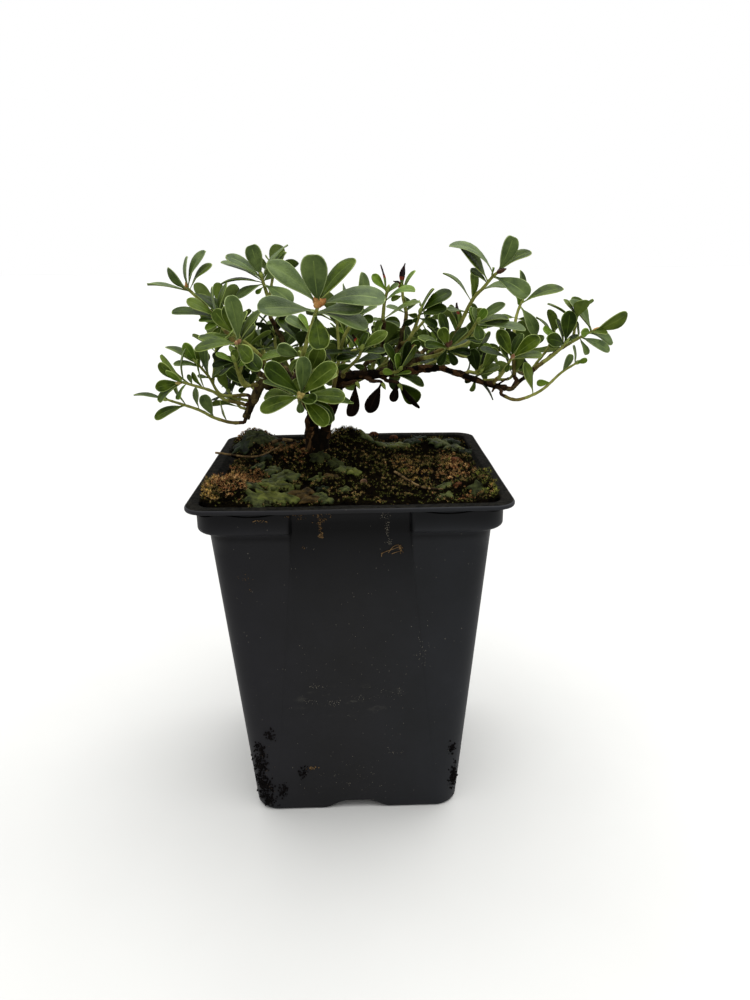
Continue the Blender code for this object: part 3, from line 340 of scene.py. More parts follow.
# Splash cups: x, y, size; and their section as (share of the size, height).
CUPS = ((-24.6, -16.0, 1.0), (-19.0, -33.5, 1.0), (-27.5, -38, 1.1), (-11.5, -20.5, 0.8))
CUP_SECTION = ((0.6, -1.6), (0.7, -0.2), (1.0, 0.5), (0.92, 0.6), (0.7, 0.0), (0.2, -0.2))
# Stalked heads of the liverwort: x, y, stalk height, width of the head, fingers.
HEADS = (
    (9.7, 44, 4.0, 4.4, 9),
    (20.5, 44, 3.0, 4.0, 9),
    (41.8, -8, 3.8, 5.0, 9),
    (38.8, -36.9, 2.2, 4.6, 9),
)
# Dry twigs on the moss: points, radius.
DRY_TWIGS = (
    (((-57.2, 17.6, 134.7), (-49.9, 15.1, 134.3), (-43.7, 12, 134.2), (-36.8, 11, 135.0),
      (-28.4, 20.4, 137.2)), 0.5),
    (((17.1, -15.4, 134.2), (22.2, -26.5, 133.4), (26.4, -33.4, 133.1), (30.2, -35.3, 133),
      (34.1, -35.3, 132.8)), 0.5),
    (((-34, 24, 137), (-30, 27, 137.6), (-24, 26, 137.4)), 0.9),
)
SHELL_PLACE = (5.1, -26.5)
SHELL_STEPS, SHELL_TURN, SHELL_GROWTH = 60, 0.28, 0.11
GRAIN_FACES = ((0, 2, 4), (2, 1, 4), (1, 3, 4), (3, 0, 4), (2, 0, 5), (1, 2, 5), (3, 1, 5), (0, 3, 5))

# Trunk: (height above its cut foot, x, half-width, half-depth), up to the crotch.
TRUNK_RINGS = (
    (0.0, -14.0, 5.9, 5.4),
    (1.4, -13.9, 5.2, 4.7),
    (4.0, -13.7, 4.8, 4.2),
    (6.8, -13.4, 5.0, 3.9),
    (8.6, -13.2, 5.5, 3.5),
)
TRUNK_SIDES = 10
TRUNK_LOBES = 3
TRUNK_LOBE_DEPTH = 0.07
TRUNK_SINK = 2.5
TRUNK_TURNS, TRUNK_LEVELS = 40, 34
LIMB_SIDES = 5
# Boughs: name, parent, share along the parent (1 goes on from its tip), points passed, end,
# radius at the start and at the end.
BOUGHS = (
    ("left_stem", "trunk", (-15.6, 8.0), ((-14.3, 6.5, 153.0),), (-18.2, 2, 161.1), 2.8, 2.4),
    ("right_stem", "trunk", (-9.9, 8.0), ((-8.2, 6.5, 152.4),), (-4.4, 4, 163.7), 2.2, 2.1),
    ("left_bough", "left_stem", 1, ((-24.7, -3, 164.4),), (-30.7, -8, 167.3), 2.4, 1.9),
    ("left_low_bough", "left_bough", 1, ((-35.2, -9, 164.1),), (-39.8, -8, 154.7), 1.8, 1.5),
    ("left_high_bough", "left_bough", 0.8, ((-32, -9, 174),), (-39.5, -11, 181.0), 1.2, 0.9),
    ("top_left_bough", "left_bough", 0.2, ((-22, -1, 177),), (-27.8, -6, 190.5), 1.3, 0.9),
    ("front_bough", "left_stem", 0.8, ((-18.5, -14, 164),), (-18.0, -34, 174.0), 1.5, 1.1),
    ("front_left_bough", "left_bough", 0.5, ((-29, -20, 171),), (-33, -34, 178.5), 1.2, 0.9),
    ("right_bough", "right_stem", 1, ((1.3, 3, 168.5), (10.7, 2, 169.3), (21.0, 2, 170.2)),
     (34.4, 2, 171.3), 2.1, 1.5),
    ("right_arm", "right_bough", 1, ((43.1, 2, 168.8), (51.1, 2, 165.9)), (62.3, 2, 162.9), 1.4, 1.1),
    ("centre_bough", "right_bough", 0.32, ((12.4, 2, 178),), (13.8, 0, 188.0), 1.0, 0.8),
    ("centre_back_bough", "right_bough", 0.56, ((19.5, 6, 178),), (22.6, 7, 189.0), 1.0, 0.8),
    ("high_right_bough", "right_bough", 0.68, ((30, -2, 176),), (38.5, -2, 180.3), 1.1, 0.9),
    ("far_right_bough", "right_arm", 1, ((71, 4, 167.5),), (80.9, 6, 175.1), 1.0, 0.8),
    ("back_left_bough", "left_stem", 0.55, ((-20, 20, 162),), (-30, 34, 170.0), 1.4, 0.9),
    ("back_bough", "right_stem", 0.6, ((-4, 20, 163),), (-2, 38, 172.0), 1.4, 0.9),
    ("back_right_bough", "right_bough", 0.45, ((20, 18, 171),), (36, 34, 176.0), 1.2, 0.9),
)
BARK_PLATE = 1.0
BARK_STEP = 0.45
# The trunk's lighter red brown flank is partly its bark's colour and partly painted light.
RED_FLANK = (0.42, 0.67)  # the red brown flank, in turns round the trunk from +X
YOUNG_BARK = 1.45  # boughs thinner than this at their start still have thin brown bark
OLD_BARK = ("right_arm",)
THIN_BARK = ("left_low_bough",)
KNOT_SWELL = 0.2  # how far knots and hollows change a bough's radius
BOUGH_SWAY = 0.55  # how far a bough wanders from its smooth path, in mm
SPUR_TAPER = 0.35
# Dead spurs on the right arm: points, radius at the foot.
SPURS = (
    (((57.6, 2, 163.2), (60.0, 1.2, 165.2), (62.9, 0.6, 167.3)), 0.55),
    (((58.0, 2, 163.0), (61.4, 0.8, 163.6), (64.3, 0.2, 163.3)), 0.5),
    (((57.6, 2, 163.0), (56.6, 0.6, 161.8)), 0.6),
    (((57.8, 2, 163.6), (57.6, 0.4, 165.6)), 0.5),
)

# Leafy shoots: name, parent, share along the parent, points passed, tip, the way the tip faces,
# side twigs, seed, and the nodes. Each node is a share along the twig and its leaves: heading,
# lean, length as a share of LEAF, how much of the upper side faces front, and the curl where it
# isn't LEAF_CURL. The seeded rule sets the side twigs, and the leaves of a node that lists none.
LEAF = 14.5
SHOOTS = (
    ("front_top_shoot", "front_bough", 1, ((-15.5, -44, 180.5), (-12, -54, 190)),
     (-8, -66, 200.5), (75, 48), 0, 0, (
        (1.0, ((93, 26, 1.2, 1.0), (49, 8, 1.26, 0.6, 50), (138, 16, 1.4, 0.6, 50),
            (5, 12, 1.55, 0.4, 60))),
        (0.92, ((175, 22, 1.3, 0.6), (15, 25, 1.15, 0.5), (-15, 30, 1.3, 0.4, 50), (-80, 42, 0.95, 1.0))),
        (0.66, ((145, -12, 0.65, 0.7), (125, -20, 0.5, 0.5))),
    )),
    ("front_low_shoot", "front_bough", 0.62, (), (-15.5, -50, 170.5), (60, 68), 0, 0, (
        (1.0, ((135, 20, 1.15, 0.6), (85, 8, 0.95, 0.8), (50, 15, 1.2, 0.8), (0, 15, 1.1, 0.7),
            (-165, 20, 1.0, 0.8), (-45, 25, 0.95, 0.8), (30, -12, 1.05, 0.4), (-30, 6, 0.95, 0.6),
            (155, -2, 0.95, 0.3), (-180, -14, 0.9, 0.5), (-25, -12, 1.0, 0.6), (5, 55, 0.7, 0.5),
            (-20, -25, 1.4, 0.3), (-90, -22, 0.4, 1.0))),
    )),
    ("left_front_shoot", "front_left_bough", 1, (), (-35, -50, 188), (80, 50), 0, 0, (
        (1.0, ((95, 12, 1.1, 0.7), (-175, 20, 1.0, 0.5, 45), (-35, 56, 0.85, 1.0), (-45, 36, 0.9, 0.9),
            (75, -8, 0.8, 0.5), (55, -6, 1.0, 0.5), (50, -20, 0.65, 0.6), (165, -6, 0.95, 0.3))),
    )),
    ("inner_left_shoot", "front_bough", 0.45, (), (-16, -38, 182.5), (110, 60), 1, 76, (
        (0.97, ((155, 32, 0.7, 1.0), (-175, 6, 1.0, 0.3, 50), (175, -8, 0.75, 0.8),
            (-130, -24, 0.55, 0.7), (35, -24, 0.6, 0.8))),
    )),
    ("top_left_shoot", "top_left_bough", 1, ((-29, -7, 198.5),), (-31, -8, 207), (115, 10), 1, 66, (
        (0.98, ((105, 8, 0.9, 1.0), (50, 0, 1.15, 0.3, 55), (50, -25, 1.0, 0.6), (35, 10, 0.5, 0.9))),
        (0.93, ((145, 8, 1.1, 0.4, 45), (155, -6, 1.2, 0.1), (180, 10, 1.1, 0.1, 45),
            (-155, 14, 0.8, 0.6, 45), (-30, 34, 1.05, 0.8, 45), (-140, 10, 0.3, 0.9))),
    )),
    ("high_left_shoot", "left_high_bough", 1, ((-51.5, -8, 196),),
     (-58.5, -8, 203.5), (135, 10), 1, 67, (
        (0.99, ((60, 4, 1.1, 0.4, 45), (80, -8, 0.85, 0.4, 45), (45, 8, 0.95, 0.4, 50),
            (130, 12, 0.8, 0.7, 50), (170, 0, 1.15, 0.1, 25), (-30, 18, 0.95, 0.5, 40),
            (-40, -10, 0.4, 1.0))),
    )),
    ("mid_left_shoot", "left_high_bough", 0.55, (), (-46, -22, 193.5), (125, 32), 1, 21, (
        (1.0, ((145, 14, 0.85, 0.5), (170, 6, 1.15, 0.2, 35), (75, -4, 0.95, 0.4), (100, -10, 0.85, 0.4),
            (175, 14, 0.55, 0.4, 45), (-170, 24, 0.45, 0.7), (45, -18, 0.4, 1.0), (-130, 12, 0.4, 1.0))),
    )),
    ("low_left_upper_shoot", "left_low_bough", 0.55, ((-49.5, -3, 163), (-54, -1, 169.5)),
     (-58, -2, 175), (110, 10), 1, 22, (
        (0.98, ((120, 4, 0.7, 1.0), (150, -8, 1.05, 0.3), (105, 0, 0.5, 1.0), (150, 10, 0.75, 0.3, 50),
            (75, -14, 0.45, 1.0))),
        (0.76, ((90, 6, 0.95, 0.6), (165, 8, 0.35, 0.5), (45, -12, 0.5, 0.7))),
    )),
    ("low_left_middle_shoot", "left_low_bough", 0.72, ((-47, -11, 162.5), (-51.5, -12, 166)),
     (-62.5, -14, 170), (165, 18), 0, 0, (
        (1.0, ((135, 8, 0.75, 0.9), (-180, 10, 0.7, 0.9), (-155, 8, 0.85, 0.5, 45),
            (85, -6, 0.9, 0.2, 50), (135, 34, 0.65, 0.7), (-125, 6, 0.5, 0.6))),
        (0.85, ((135, -10, 1.1, 0.1), (120, -4, 0.3, 1.0))),
        (0.68, ((140, 10, 0.5, 0.7), (100, -6, 0.8, 0.3))),
    )),
    ("low_left_bottom_shoot", "left_low_bough", 1,
     ((-45.5, -8, 153), (-52, -8, 155), (-58, -7, 158)), (-70, -6, 162), (166, 4), 0, 0, (
        (1.0, ((170, 0, 0.9, 0.1, 25), (130, 20, 0.3, 0.9))),
        (0.78, ((-160, 10, 0.9, 0.6), (115, 6, 0.6, 0.5))),
        (0.61, ((95, 4, 0.65, 0.7),)),
        (0.42, ((110, 8, 0.7, 1.0),)),
        (0.26, ((105, -4, 0.6, 0.4),)),
    )),
    ("stub_left_shoot", "left_low_bough", 0.2, ((-39, -16, 169),), (-41, -20, 178), (110, 25), 1, 62, (
        (0.98, ((-175, 10, 0.6, 0.5, 40), (160, 0, 0.55, 0.4), (-150, 16, 0.5, 0.4), (60, -18, 0.55, 0.8),
            (105, -12, 0.45, 1.0), (35, 0, 0.45, 1.0))),
        (0.29, ((135, 6, 0.7, 1.0), (-175, 24, 0.3, 1.0), (65, -14, 0.4, 1.0))),
    )),
    ("centre_left_shoot", "right_stem", 0.9, ((-2.5, -10, 181), (-0.5, -16, 187)),
     (3.5, -18, 193), (85, 20), 1, 36, (
        (1.0, ((80, -4, 1.15, 0.6), (30, 4, 0.65, 0.4), (10, 12, 0.5, 0.9), (65, 18, 0.6, 0.6),
            (95, 8, 0.5, 0.4), (110, 20, 0.3, 1.0))),
        (0.79, ((125, -8, 0.25, 1.0), (110, -14, 0.8, 0.5), (100, -20, 1.4, 0.3))),
    )),
    ("centre_top_shoot", "centre_bough", 1, ((13.5, -3, 191), (14, -5, 197)),
     (15, -6, 201.0), (80, 15), 0, 0, (
        (1.0, ((130, 10, 0.6, 0.8), (110, -6, 0.75, 0.2, 15), (40, 10, 0.45, 0.6, 45))),
        (0.74, ((20, 4, 0.95, 0.3, 75),)),
        (0.28, ((25, -4, 1.1, 0.2, 30), (-20, 6, 0.5, 0.4), (170, -6, 0.3, 0.6), (-115, 10, 0.35, 0.5))),
    )),
    ("centre_tip_shoot", "centre_back_bough", 1, (), (21.5, 8, 201), (88, 5), 0, 0, (
        (0.98, ((85, 2, 0.75, 0.5), (130, 36, 0.55, 0.6, 60), (60, -8, 0.7, 0.3, 40),
            (-55, 20, 0.35, 0.8), (-160, 0, 0.35, 0.9))),
        (0.29, ((60, -10, 0.45, 0.8), (160, -6, 0.6, 0.4), (-10, -14, 0.35, 1.0))),
    )),
    ("centre_right_shoot", "centre_back_bough", 0.55, (), (28, 3, 192.5), (75, 20), 1, 28, (
        (0.99, ((35, 8, 1.05, 0.5, 45), (25, 20, 0.8, 0.8, 40), (60, -6, 0.85, 0.1, 30),
            (-145, 30, 0.25, 1.0, 60), (-25, 24, 0.6, 0.8, 50), (-160, 0, 0.4, 1.0))),
    )),
    ("centre_low_shoot", "right_bough", 0.12, (), (5, -12, 180.5), (85, 30), 0, 0, (
        (1.0, ((35, 10, 0.85, 0.8), (115, 6, 0.5, 0.4, 15), (160, -8, 0.8, 0.6), (5, 16, 0.7, 0.5),
            (135, 6, 0.65, 0.3), (175, 8, 1.0, 0.2, 30), (30, -8, 0.65, 0.5), (175, 22, 0.65, 0.5),
            (70, -14, 0.7, 0.6))),
        (0.59, ((-165, 2, 0.4, 1.0), (-15, 2, 0.35, 1.0), (15, -4, 0.85, 0.3))),
    )),
    ("bough_shoot", "right_bough", 0.5, (), (19.5, -6, 172), (80, 45), 0, 0, (
        (0.92, ((70, 4, 0.85, 0.7), (115, 4, 0.85, 0.6), (40, 8, 0.95, 0.5), (90, 24, 0.6, 0.7),
            (30, -6, 0.95, 0.2), (20, -2, 1.15, 0.4), (160, 22, 0.4, 1.0), (-20, 8, 0.85, 0.5),
            (90, -12, 0.85, 0.3), (15, 20, 0.5, 0.3))),
    )),
    ("hanging_shoot", "right_bough", 0.36, (), (13, -1, 166), (-90, 10), 0, 0, (
        (1.0, ((-115, 2, 0.9, 1.0, 12),)),
    )),
    ("hanging_left_shoot", "right_bough", 0.1, (), (3, -1, 166.5), (-95, 10), 0, 0, (
        (1.0, ((-100, 2, 1.0, 0.7, 12),)),
    )),
    ("hanging_right_shoot", "right_bough", 0.5, (), (19.5, -1, 165.5), (-80, 10), 0, 0, (
        (0.94, ((-105, 2, 0.55, 1.0, 12), (-51, 2, 0.95, 0.5, 12), (-47, -16, 1.08, 1.0, 12))),
    )),
    ("right_top_shoot", "high_right_bough", 1,
     ((41.5, -10, 188), (45.5, -15, 198), (49, -18, 202.5), (51.5, -20, 206)),
     (53.5, -22, 208), (60, 16), 0, 0, (
        (1.0, ((79, 8, 0.95, 0.95), (31, 0, 0.97, 0.4, 45))),
        (0.94, ((148, 8, 1.5, 0.35, 85), (-30, 28, 1.1, 0.8, 50), (80, 0, 0.25, 0.5, 10))),
        (0.86, ((130, 20, 1.2, 0.6, 45), (140, -6, 0.55, 0.7, 45))),
        (0.76, ((10, 4, 0.7, 0.4, 45),)),
        (0.62, ((85, -8, 0.75, 0.8), (135, 0, 1.05, 0.1, 50))),
        (0.5, ((170, 0, 0.5, 0.3, 20), (0, 20, 0.55, 0.8, 45))),
        (0.32, ((95, -8, 0.65, 0.4, 12), (85, 6, 0.65, 0.5, 20))),
    )),
    ("right_mid_shoot", "high_right_bough", 0.7, ((43.5, -14, 185),),
     (46.5, -22, 191), (60, 35), 0, 0, (
        (0.98, ((-85, 50, 0.6, 1.0), (35, 8, 0.85, 0.5), (40, 16, 0.5, 0.8), (90, 10, 0.45, 0.5),
            (-5, 12, 1.25, 0.2, 20), (100, -14, 0.5, 0.7), (0, -8, 0.95, 0.2, 60), (5, 26, 0.35, 0.6))),
        (0.58, ((-10, 10, 0.5, 0.7, 25), (65, -12, 0.35, 1.0))),
    )),
    ("right_base_shoot", "high_right_bough", 0.45, (), (37, -16, 182), (100, 40), 0, 0, (
        (1.0, ((115, 30, 0.65, 1.0), (105, 6, 0.9, 0.6), (170, 10, 0.65, 0.8), (-120, 16, 0.5, 1.0),
            (-60, 20, 0.5, 1.0), (45, -16, 0.75, 0.6), (155, -14, 0.85, 0.4), (-5, 0, 0.65, 0.7))),
    )),
    ("right_inner_shoot", "right_arm", 0.42, (), (52, 4, 169), (85, 20), 1, 24, (
        (0.93, ((60, 6, 0.85, 0.9), (105, 4, 0.75, 1.0), (-175, 14, 0.4, 0.9), (80, -12, 0.85, 0.6),
            (-130, 16, 0.45, 0.8), (-50, 10, 0.85, 0.2), (25, -8, 0.8, 0.6))),
    )),
    ("right_low_shoot", "right_arm", 0.8, ((59, -5, 169.5),), (61, -14, 177), (82, 40), 0, 79, (
        (1.0, ((120, 16, 0.9, 0.9), (40, 12, 0.9, 0.8), (65, -16, 0.75, 0.6), (10, 14, 0.85, 0.4, 40),
            (160, 12, 0.95, 0.4, 40), (130, 26, 0.55, 0.7), (-110, 10, 0.3, 1.0))),
    )),
    ("right_up_shoot", "far_right_bough", 0.25, ((65.5, 7, 181), (67, 11, 189.5)),
     (69.5, 14, 195.5), (70, 5), 0, 4, (
        (0.97, ((20, 4, 1.25, 0.3, 40), (90, -8, 0.95, 0.6), (-60, 12, 0.95, 0.9, 45),
            (105, -6, 0.35, 0.8))),
        (0.79, ((-170, 0, 0.6, 0.4), (-15, -10, 0.5, 0.7))),
    )),
    ("far_right_shoot", "far_right_bough", 1, ((92.5, 9, 181.5),), (98.5, 11, 184), (30, 12), 1, 59, (
        (0.99, ((27, 5, 1.05, 0.9, 40), (130, 8, 1.15, 0.55, 45), (120, -8, 1.1, 0.75, 30),
            (175, 48, 0.55, 1.0), (0, 14, 0.5, 0.6), (-20, -12, 0.85, 0.6))),
        (0.69, ((-25, 12, 0.9, 0.7, 30), (-65, 20, 0.55, 0.8), (100, -16, 0.5, 0.6))),
    )),
    ("far_right_inner_shoot", "far_right_bough", 0.62, (), (85.5, 4, 180), (60, 10), 0, 76, (
        (1.0, ((85, 2, 0.9, 1.0), (160, 40, 0.9, 0.9, 60), (105, -14, 0.75, 0.6), (35, -8, 0.55, 0.4),
            (135, 0, 0.8, 0.6), (165, 12, 0.4, 1.0))),
    )),
    ("low_right_shoot", "right_arm", 0.94, ((66.5, 0, 158.5), (76.5, 3, 161.5), (85, 6, 168)),
     (91.5, 8, 171.5), (35, 5), 0, 0, (
        (1.0, ((25, 24, 0.35, 1.0), (95, -6, 0.55, 0.6))),
        (0.82, ((70, 16, 0.6, 0.9),)),
        (0.66, ((-180, 10, 0.45, 1.0, 50),)),
        (0.42, ((110, -6, 1.0, 0.7),)),
    )),
    ("back_left_shoot", "back_left_bough", 1, (), (-38.5, 46, 173), (120, -30), 3, 40, ((1.0, ()),)),
    ("back_left_low_shoot", "back_left_bough", 0.6, (), (-46.5, 24, 167.5), (150, -15), 2, 45, ((1.0, ()),)),
    ("back_middle_left_shoot", "back_left_bough", 0.8, (), (-15, 54, 173), (90, -40), 2, 27, ((1.0, ()),)),
    ("back_shoot", "back_bough", 1, (), (1.5, 58, 174.5), (90, -35), 3, 50, ((1.0, ()),)),
    ("back_low_shoot", "back_bough", 0.6, (), (20.5, 42, 169.5), (60, -35), 2, 46, ((1.0, ()),)),
    ("back_top_shoot", "back_bough", 0.3, (), (18, 24, 178), (85, -10), 2, 37, ((1.0, ()),)),
    ("back_right_shoot", "back_right_bough", 1, (), (54.5, 48, 171.5), (60, -30), 3, 26, ((1.0, ()),)),
    ("back_right_low_shoot", "back_right_bough", 0.6, (), (35.5, 50, 171.5), (90, -45), 2, 2, ((1.0, ()),)),
    ("back_far_right_shoot", "far_right_bough", 0.45, (), (73.5, 32, 173), (60, -30), 2, 55, ((1.0, ()),)),
)
TWIG_RADIUS = 0.85
TWIG_TIP_RADIUS = 0.55
TWIG_RINGS = 6
TWIG_HANDLE = 0.35
TWIG_NUDGE = 0.15
SIDE_TWIG_RADIUS = 0.6
SIDE_TWIG_LENGTH = 11.0
SIDE_TWIG_SPREAD = 52.0
SIDE_WHORL = 5
TIP_WHORL = 8
WHORL_TILT = 24.0  # the innermost leaves' angle to their twig
TIP_SPREAD = 58.0  # the outermost leaves' further angle
STEM_SPREAD = 46.0
SIDE_SPREAD = 44.0
INNER_LEAF = 0.55
STEM_LEAVES = 2
LEAF_CURL = 34.0
CURL_RANGE = 14.0
LEAF_STEP = 0.4
# A leaf's sections: share of its length, half-width and keel depth as shares of its length.
LEAF_SECTIONS = ((0.42, 0.15, 0.034), (0.78, 0.23, 0.03))
LEAF_DISH = 0.12
NUDGES = ((0, 0), (10, 0), (-10, 0), (0, 14), (0, -14), (18, 10), (-18, -10), (0, 28), (24, -16))
CROWN_LOW = Vector((-84.0, -84.0, 148.0))
CROWN_HIGH = Vector((111.5, 74.0, 221.0))
LOW_LEAF = 168.0  # below this a leaf may be old and brown
# Short twigs that fill the inside of the crown, their leaves drawn from the dark tones as painted shade:
# bough, share along it, tip.
INNER_TWIGS = (
    ("front_bough", 0.25, (-17.9, -8.0, 182.8)),
    ("left_low_bough", 0.8, (-43.1, -4.0, 159.4)),
    ("left_low_bough", 0.6, (-46.6, -2.0, 163.8)),
    ("left_bough", 0.6, (-28.4, 2.0, 185.7)),
    ("left_bough", 0.9, (-33.5, 4.0, 181.0)),
    ("right_stem", 0.7, (-6.2, 8.0, 173.4)),
    ("right_bough", 0.08, (-0.8, 8.0, 180.4)),
    ("high_right_bough", 0.5, (50.3, 6.0, 185.3)),
    ("far_right_bough", 0.45, (81.9, 10.0, 182.9)),
    ("right_arm", 0.6, (66.4, 6.0, 168.6)),
    ("left_low_bough", 0.35, (-42.4, 2.0, 170.9)),
    ("back_left_bough", 0.5, (-26.4, 14.0, 177.7)),
    ("right_bough", 0.8, (39.3, 8.0, 177.5)),
    ("left_high_bough", 0.9, (-43.9, -2.0, 187.4)),
    ("centre_bough", 0.6, (13.8, 8.0, 179.8)),
)
TWIG_NODE_STEP = 3.2
TWIG_SIDES = 9
TWIG_SINK = 1.5
# Parts of a shoot's twig by age: the share where the brown bark ends, and where the green starts.
TWIG_BROWN, TWIG_GREEN = 0.14, 0.34
SLIM_SHOOTS = (
    "low_left_upper_shoot", "low_left_middle_shoot", "low_left_bottom_shoot", "low_right_shoot",
    "far_right_shoot", "back_far_right_shoot",
)
SLIM = 0.85  # their twigs' thickness as a share of the others'
# Buds at a shoot's tip where they stand out: finish, how many, length and half-width in mm.
BUD_SETS = {
    "front_top_shoot": (2, 3, 3.6, 1.25),
    "front_low_shoot": (4, 4, 2.6, 0.8),
    "left_front_shoot": (1, 2, 2.4, 0.7),
    "high_left_shoot": (2, 2, 2.6, 0.75),
    "mid_left_shoot": (4, 2, 2.6, 0.7),
    "low_left_middle_shoot": (4, 2, 2.6, 0.8),
    "far_right_shoot": (2, 1, 4.2, 0.7),
    "centre_left_shoot": (1, 2, 2.6, 0.6),
    "right_low_shoot": (1, 1, 3.0, 0.8),
    "right_top_shoot": (3, 2, 3.4, 0.9),
    "right_base_shoot": (3, 2, 2.8, 0.9),
}
PLAIN_BUD = (0, 1, 3.4, 0.85)
# Buds by finish, and a shoot's twig by age: name, two colours, roughness and gloss.
BUD_KINDS = (
    ("green_bud", "#5b6a2c", "#858f45", 0.5, 0.15),
    ("pink_bud", "#744c38", "#987c56", 0.55, 0.08),
    ("orange_bud", "#8a5a30", "#a8804c", 0.55, 0.08),
    ("brown_bud", "#2e1a10", "#4f3320", 0.5, 0.1),
    ("tan_bud", "#7d7038", "#a3935a", 0.55, 0.08),
)
TWIG_AGES = (
    ("brown_shoot", "#20140b", "#3d2a18", 0.7, 0.06),
    ("greening_shoot", "#463f1c", "#665c2c", 0.65, 0.08),
    ("green_shoot", "#5e6128", "#7f8140", 0.6, 0.1),
)
BUD_SPREAD = 30.0
# A bud's section: share of its length, and of its half-width.
BUD_SECTION = ((0.0, 0.35), (0.15, 0.8), (0.35, 1.0), (0.55, 0.9), (0.75, 0.6), (0.9, 0.3), (1.0, 0.08))

# Fine leaves: rows along the blade as shares of it, rows at the tip as distances from it in widths
# of the pale edge, and columns across it.
LEAF_ROWS = (0.0, 0.05, 0.1, 0.17, 0.27, 0.39, 0.51, 0.62, 0.72, 0.8, 0.87, 0.92)
LEAF_TIP_ROWS = (1.9, 1.0, 0.5, 0.2, 0.0)
LEAF_COLUMNS = (-1.0, -0.9, -0.5, -0.05, 0.05, 0.5, 0.9, 1.0)
LEAF_STALK = 0.1
LEAF_STALK_HALF = 0.034
LEAF_TIP_HALF = 0.02
LEAF_BLADE_HALF = 0.229
LEAF_SKEW = 1.78
LEAF_ROUND = 0.51
LEAF_THICK = 0.34
LEAF_NOTCH = 0.055
SHALLOW_NOTCH = 0.035
NOTCH_HALF = 0.115
LEAF_MARGIN = 0.3  # the pale edge of a leaf
LEAF_ROLL = 0.16
LEAF_VEIN_SINK = 0.1
LEAF_QUILT = 0.2
# Each leaf tone: upper side, edge, underside and rib, as pairs of colours that drift.
LEAF_FINISHES = {
    "mature": "#202e03 #42520f  #6d7b41 #86924f  #45551d #576628  #42511a #536327",
    # A lighter, greyer copy of the mature tone, painted light and sheen for lit leaves; its skin is also
    # glossier and rougher.
    "sunlit_sheen": "#31411a #4f5f2d  #6c7a4b #84905f  #53622f #65743c  #4b5b26 #5c6c35",
    # A darker copy of the mature tone: partly leaves that differ at random, partly painted shade for leaves
    # inside the crown.
    "deep": "#152201 #2b3a06  #5c6b37 #74824a  #3a4918 #4b5a24  #30400f #3f4f1a",
    "olive": "#2c3a0c #4b5a1b  #6c7a42 #858f52  #4c5b26 #5e6c32  #4b5a22 #5c6a2e",
    "fresh": "#38500e #556b1b  #6f8240 #8a9c52  #4e6122 #607432  #526821 #657b31",
    "shaded": "#0b1301 #172206  #313d1c #414d28  #202b0f #2e3a19  #1a250a #263213",
    "brown": "#3d2611 #55371c  #5e4226 #705131  #4a3019 #5f4227  #54381e #664728",
    "dead": "#080402 #120a06  #150d08 #21160e  #0c0704 #180f09  #150c07 #20150d",
    "scorched": "#33460c #495e16  #5c6d2e #728244  #44551e #56682c  #465a18 #586c26",
}
LEAF_ROUGH = {"sunlit_sheen": 0.52, "fresh": 0.45, "dead": 0.7, "brown": 0.6}
LEAF_GLOSS = {"sunlit_sheen": 0.13, "fresh": 0.08, "dead": 0.02, "shaded": 0.02, "brown": 0.04}
# The leaf tones of a shoot, each with the share of its leaves up to and with that tone: lit shoots draw
# lighter tones as painted light, inner and back shoots darker ones as painted shade.
LEAF_MIXES = {
    "light": ((0.6, "sunlit_sheen"), (0.78, "mature"), (0.9, "olive"), (1.0, "deep")),
    "middle": ((0.45, "mature"), (0.65, "olive"), (0.88, "deep"), (1.0, "sunlit_sheen")),
    "dark": ((0.22, "mature"), (0.66, "deep"), (0.74, "olive"), (1.0, "shaded")),
}
# How many of a shoot's small leaves are fresh.
FRESH_SHARES = {"light": 0.3, "middle": 0.22, "dark": 0.1}
# Shoots on the lit top and outside of the crown, then those half in light; all others draw the dark mix as
# painted shade.
LIGHT_SHOOTS = (
    "front_top_shoot", "top_left_shoot", "right_top_shoot", "right_up_shoot", "centre_left_shoot",
    "centre_top_shoot", "centre_tip_shoot", "high_left_shoot", "far_right_shoot",
    "far_right_inner_shoot", "low_right_shoot", "right_mid_shoot",
)
MIDDLE_SHOOTS = (
    "front_low_shoot", "left_front_shoot", "inner_left_shoot", "mid_left_shoot", "low_left_upper_shoot",
    "low_left_middle_shoot", "low_left_bottom_shoot", "right_low_shoot", "back_far_right_shoot",
)
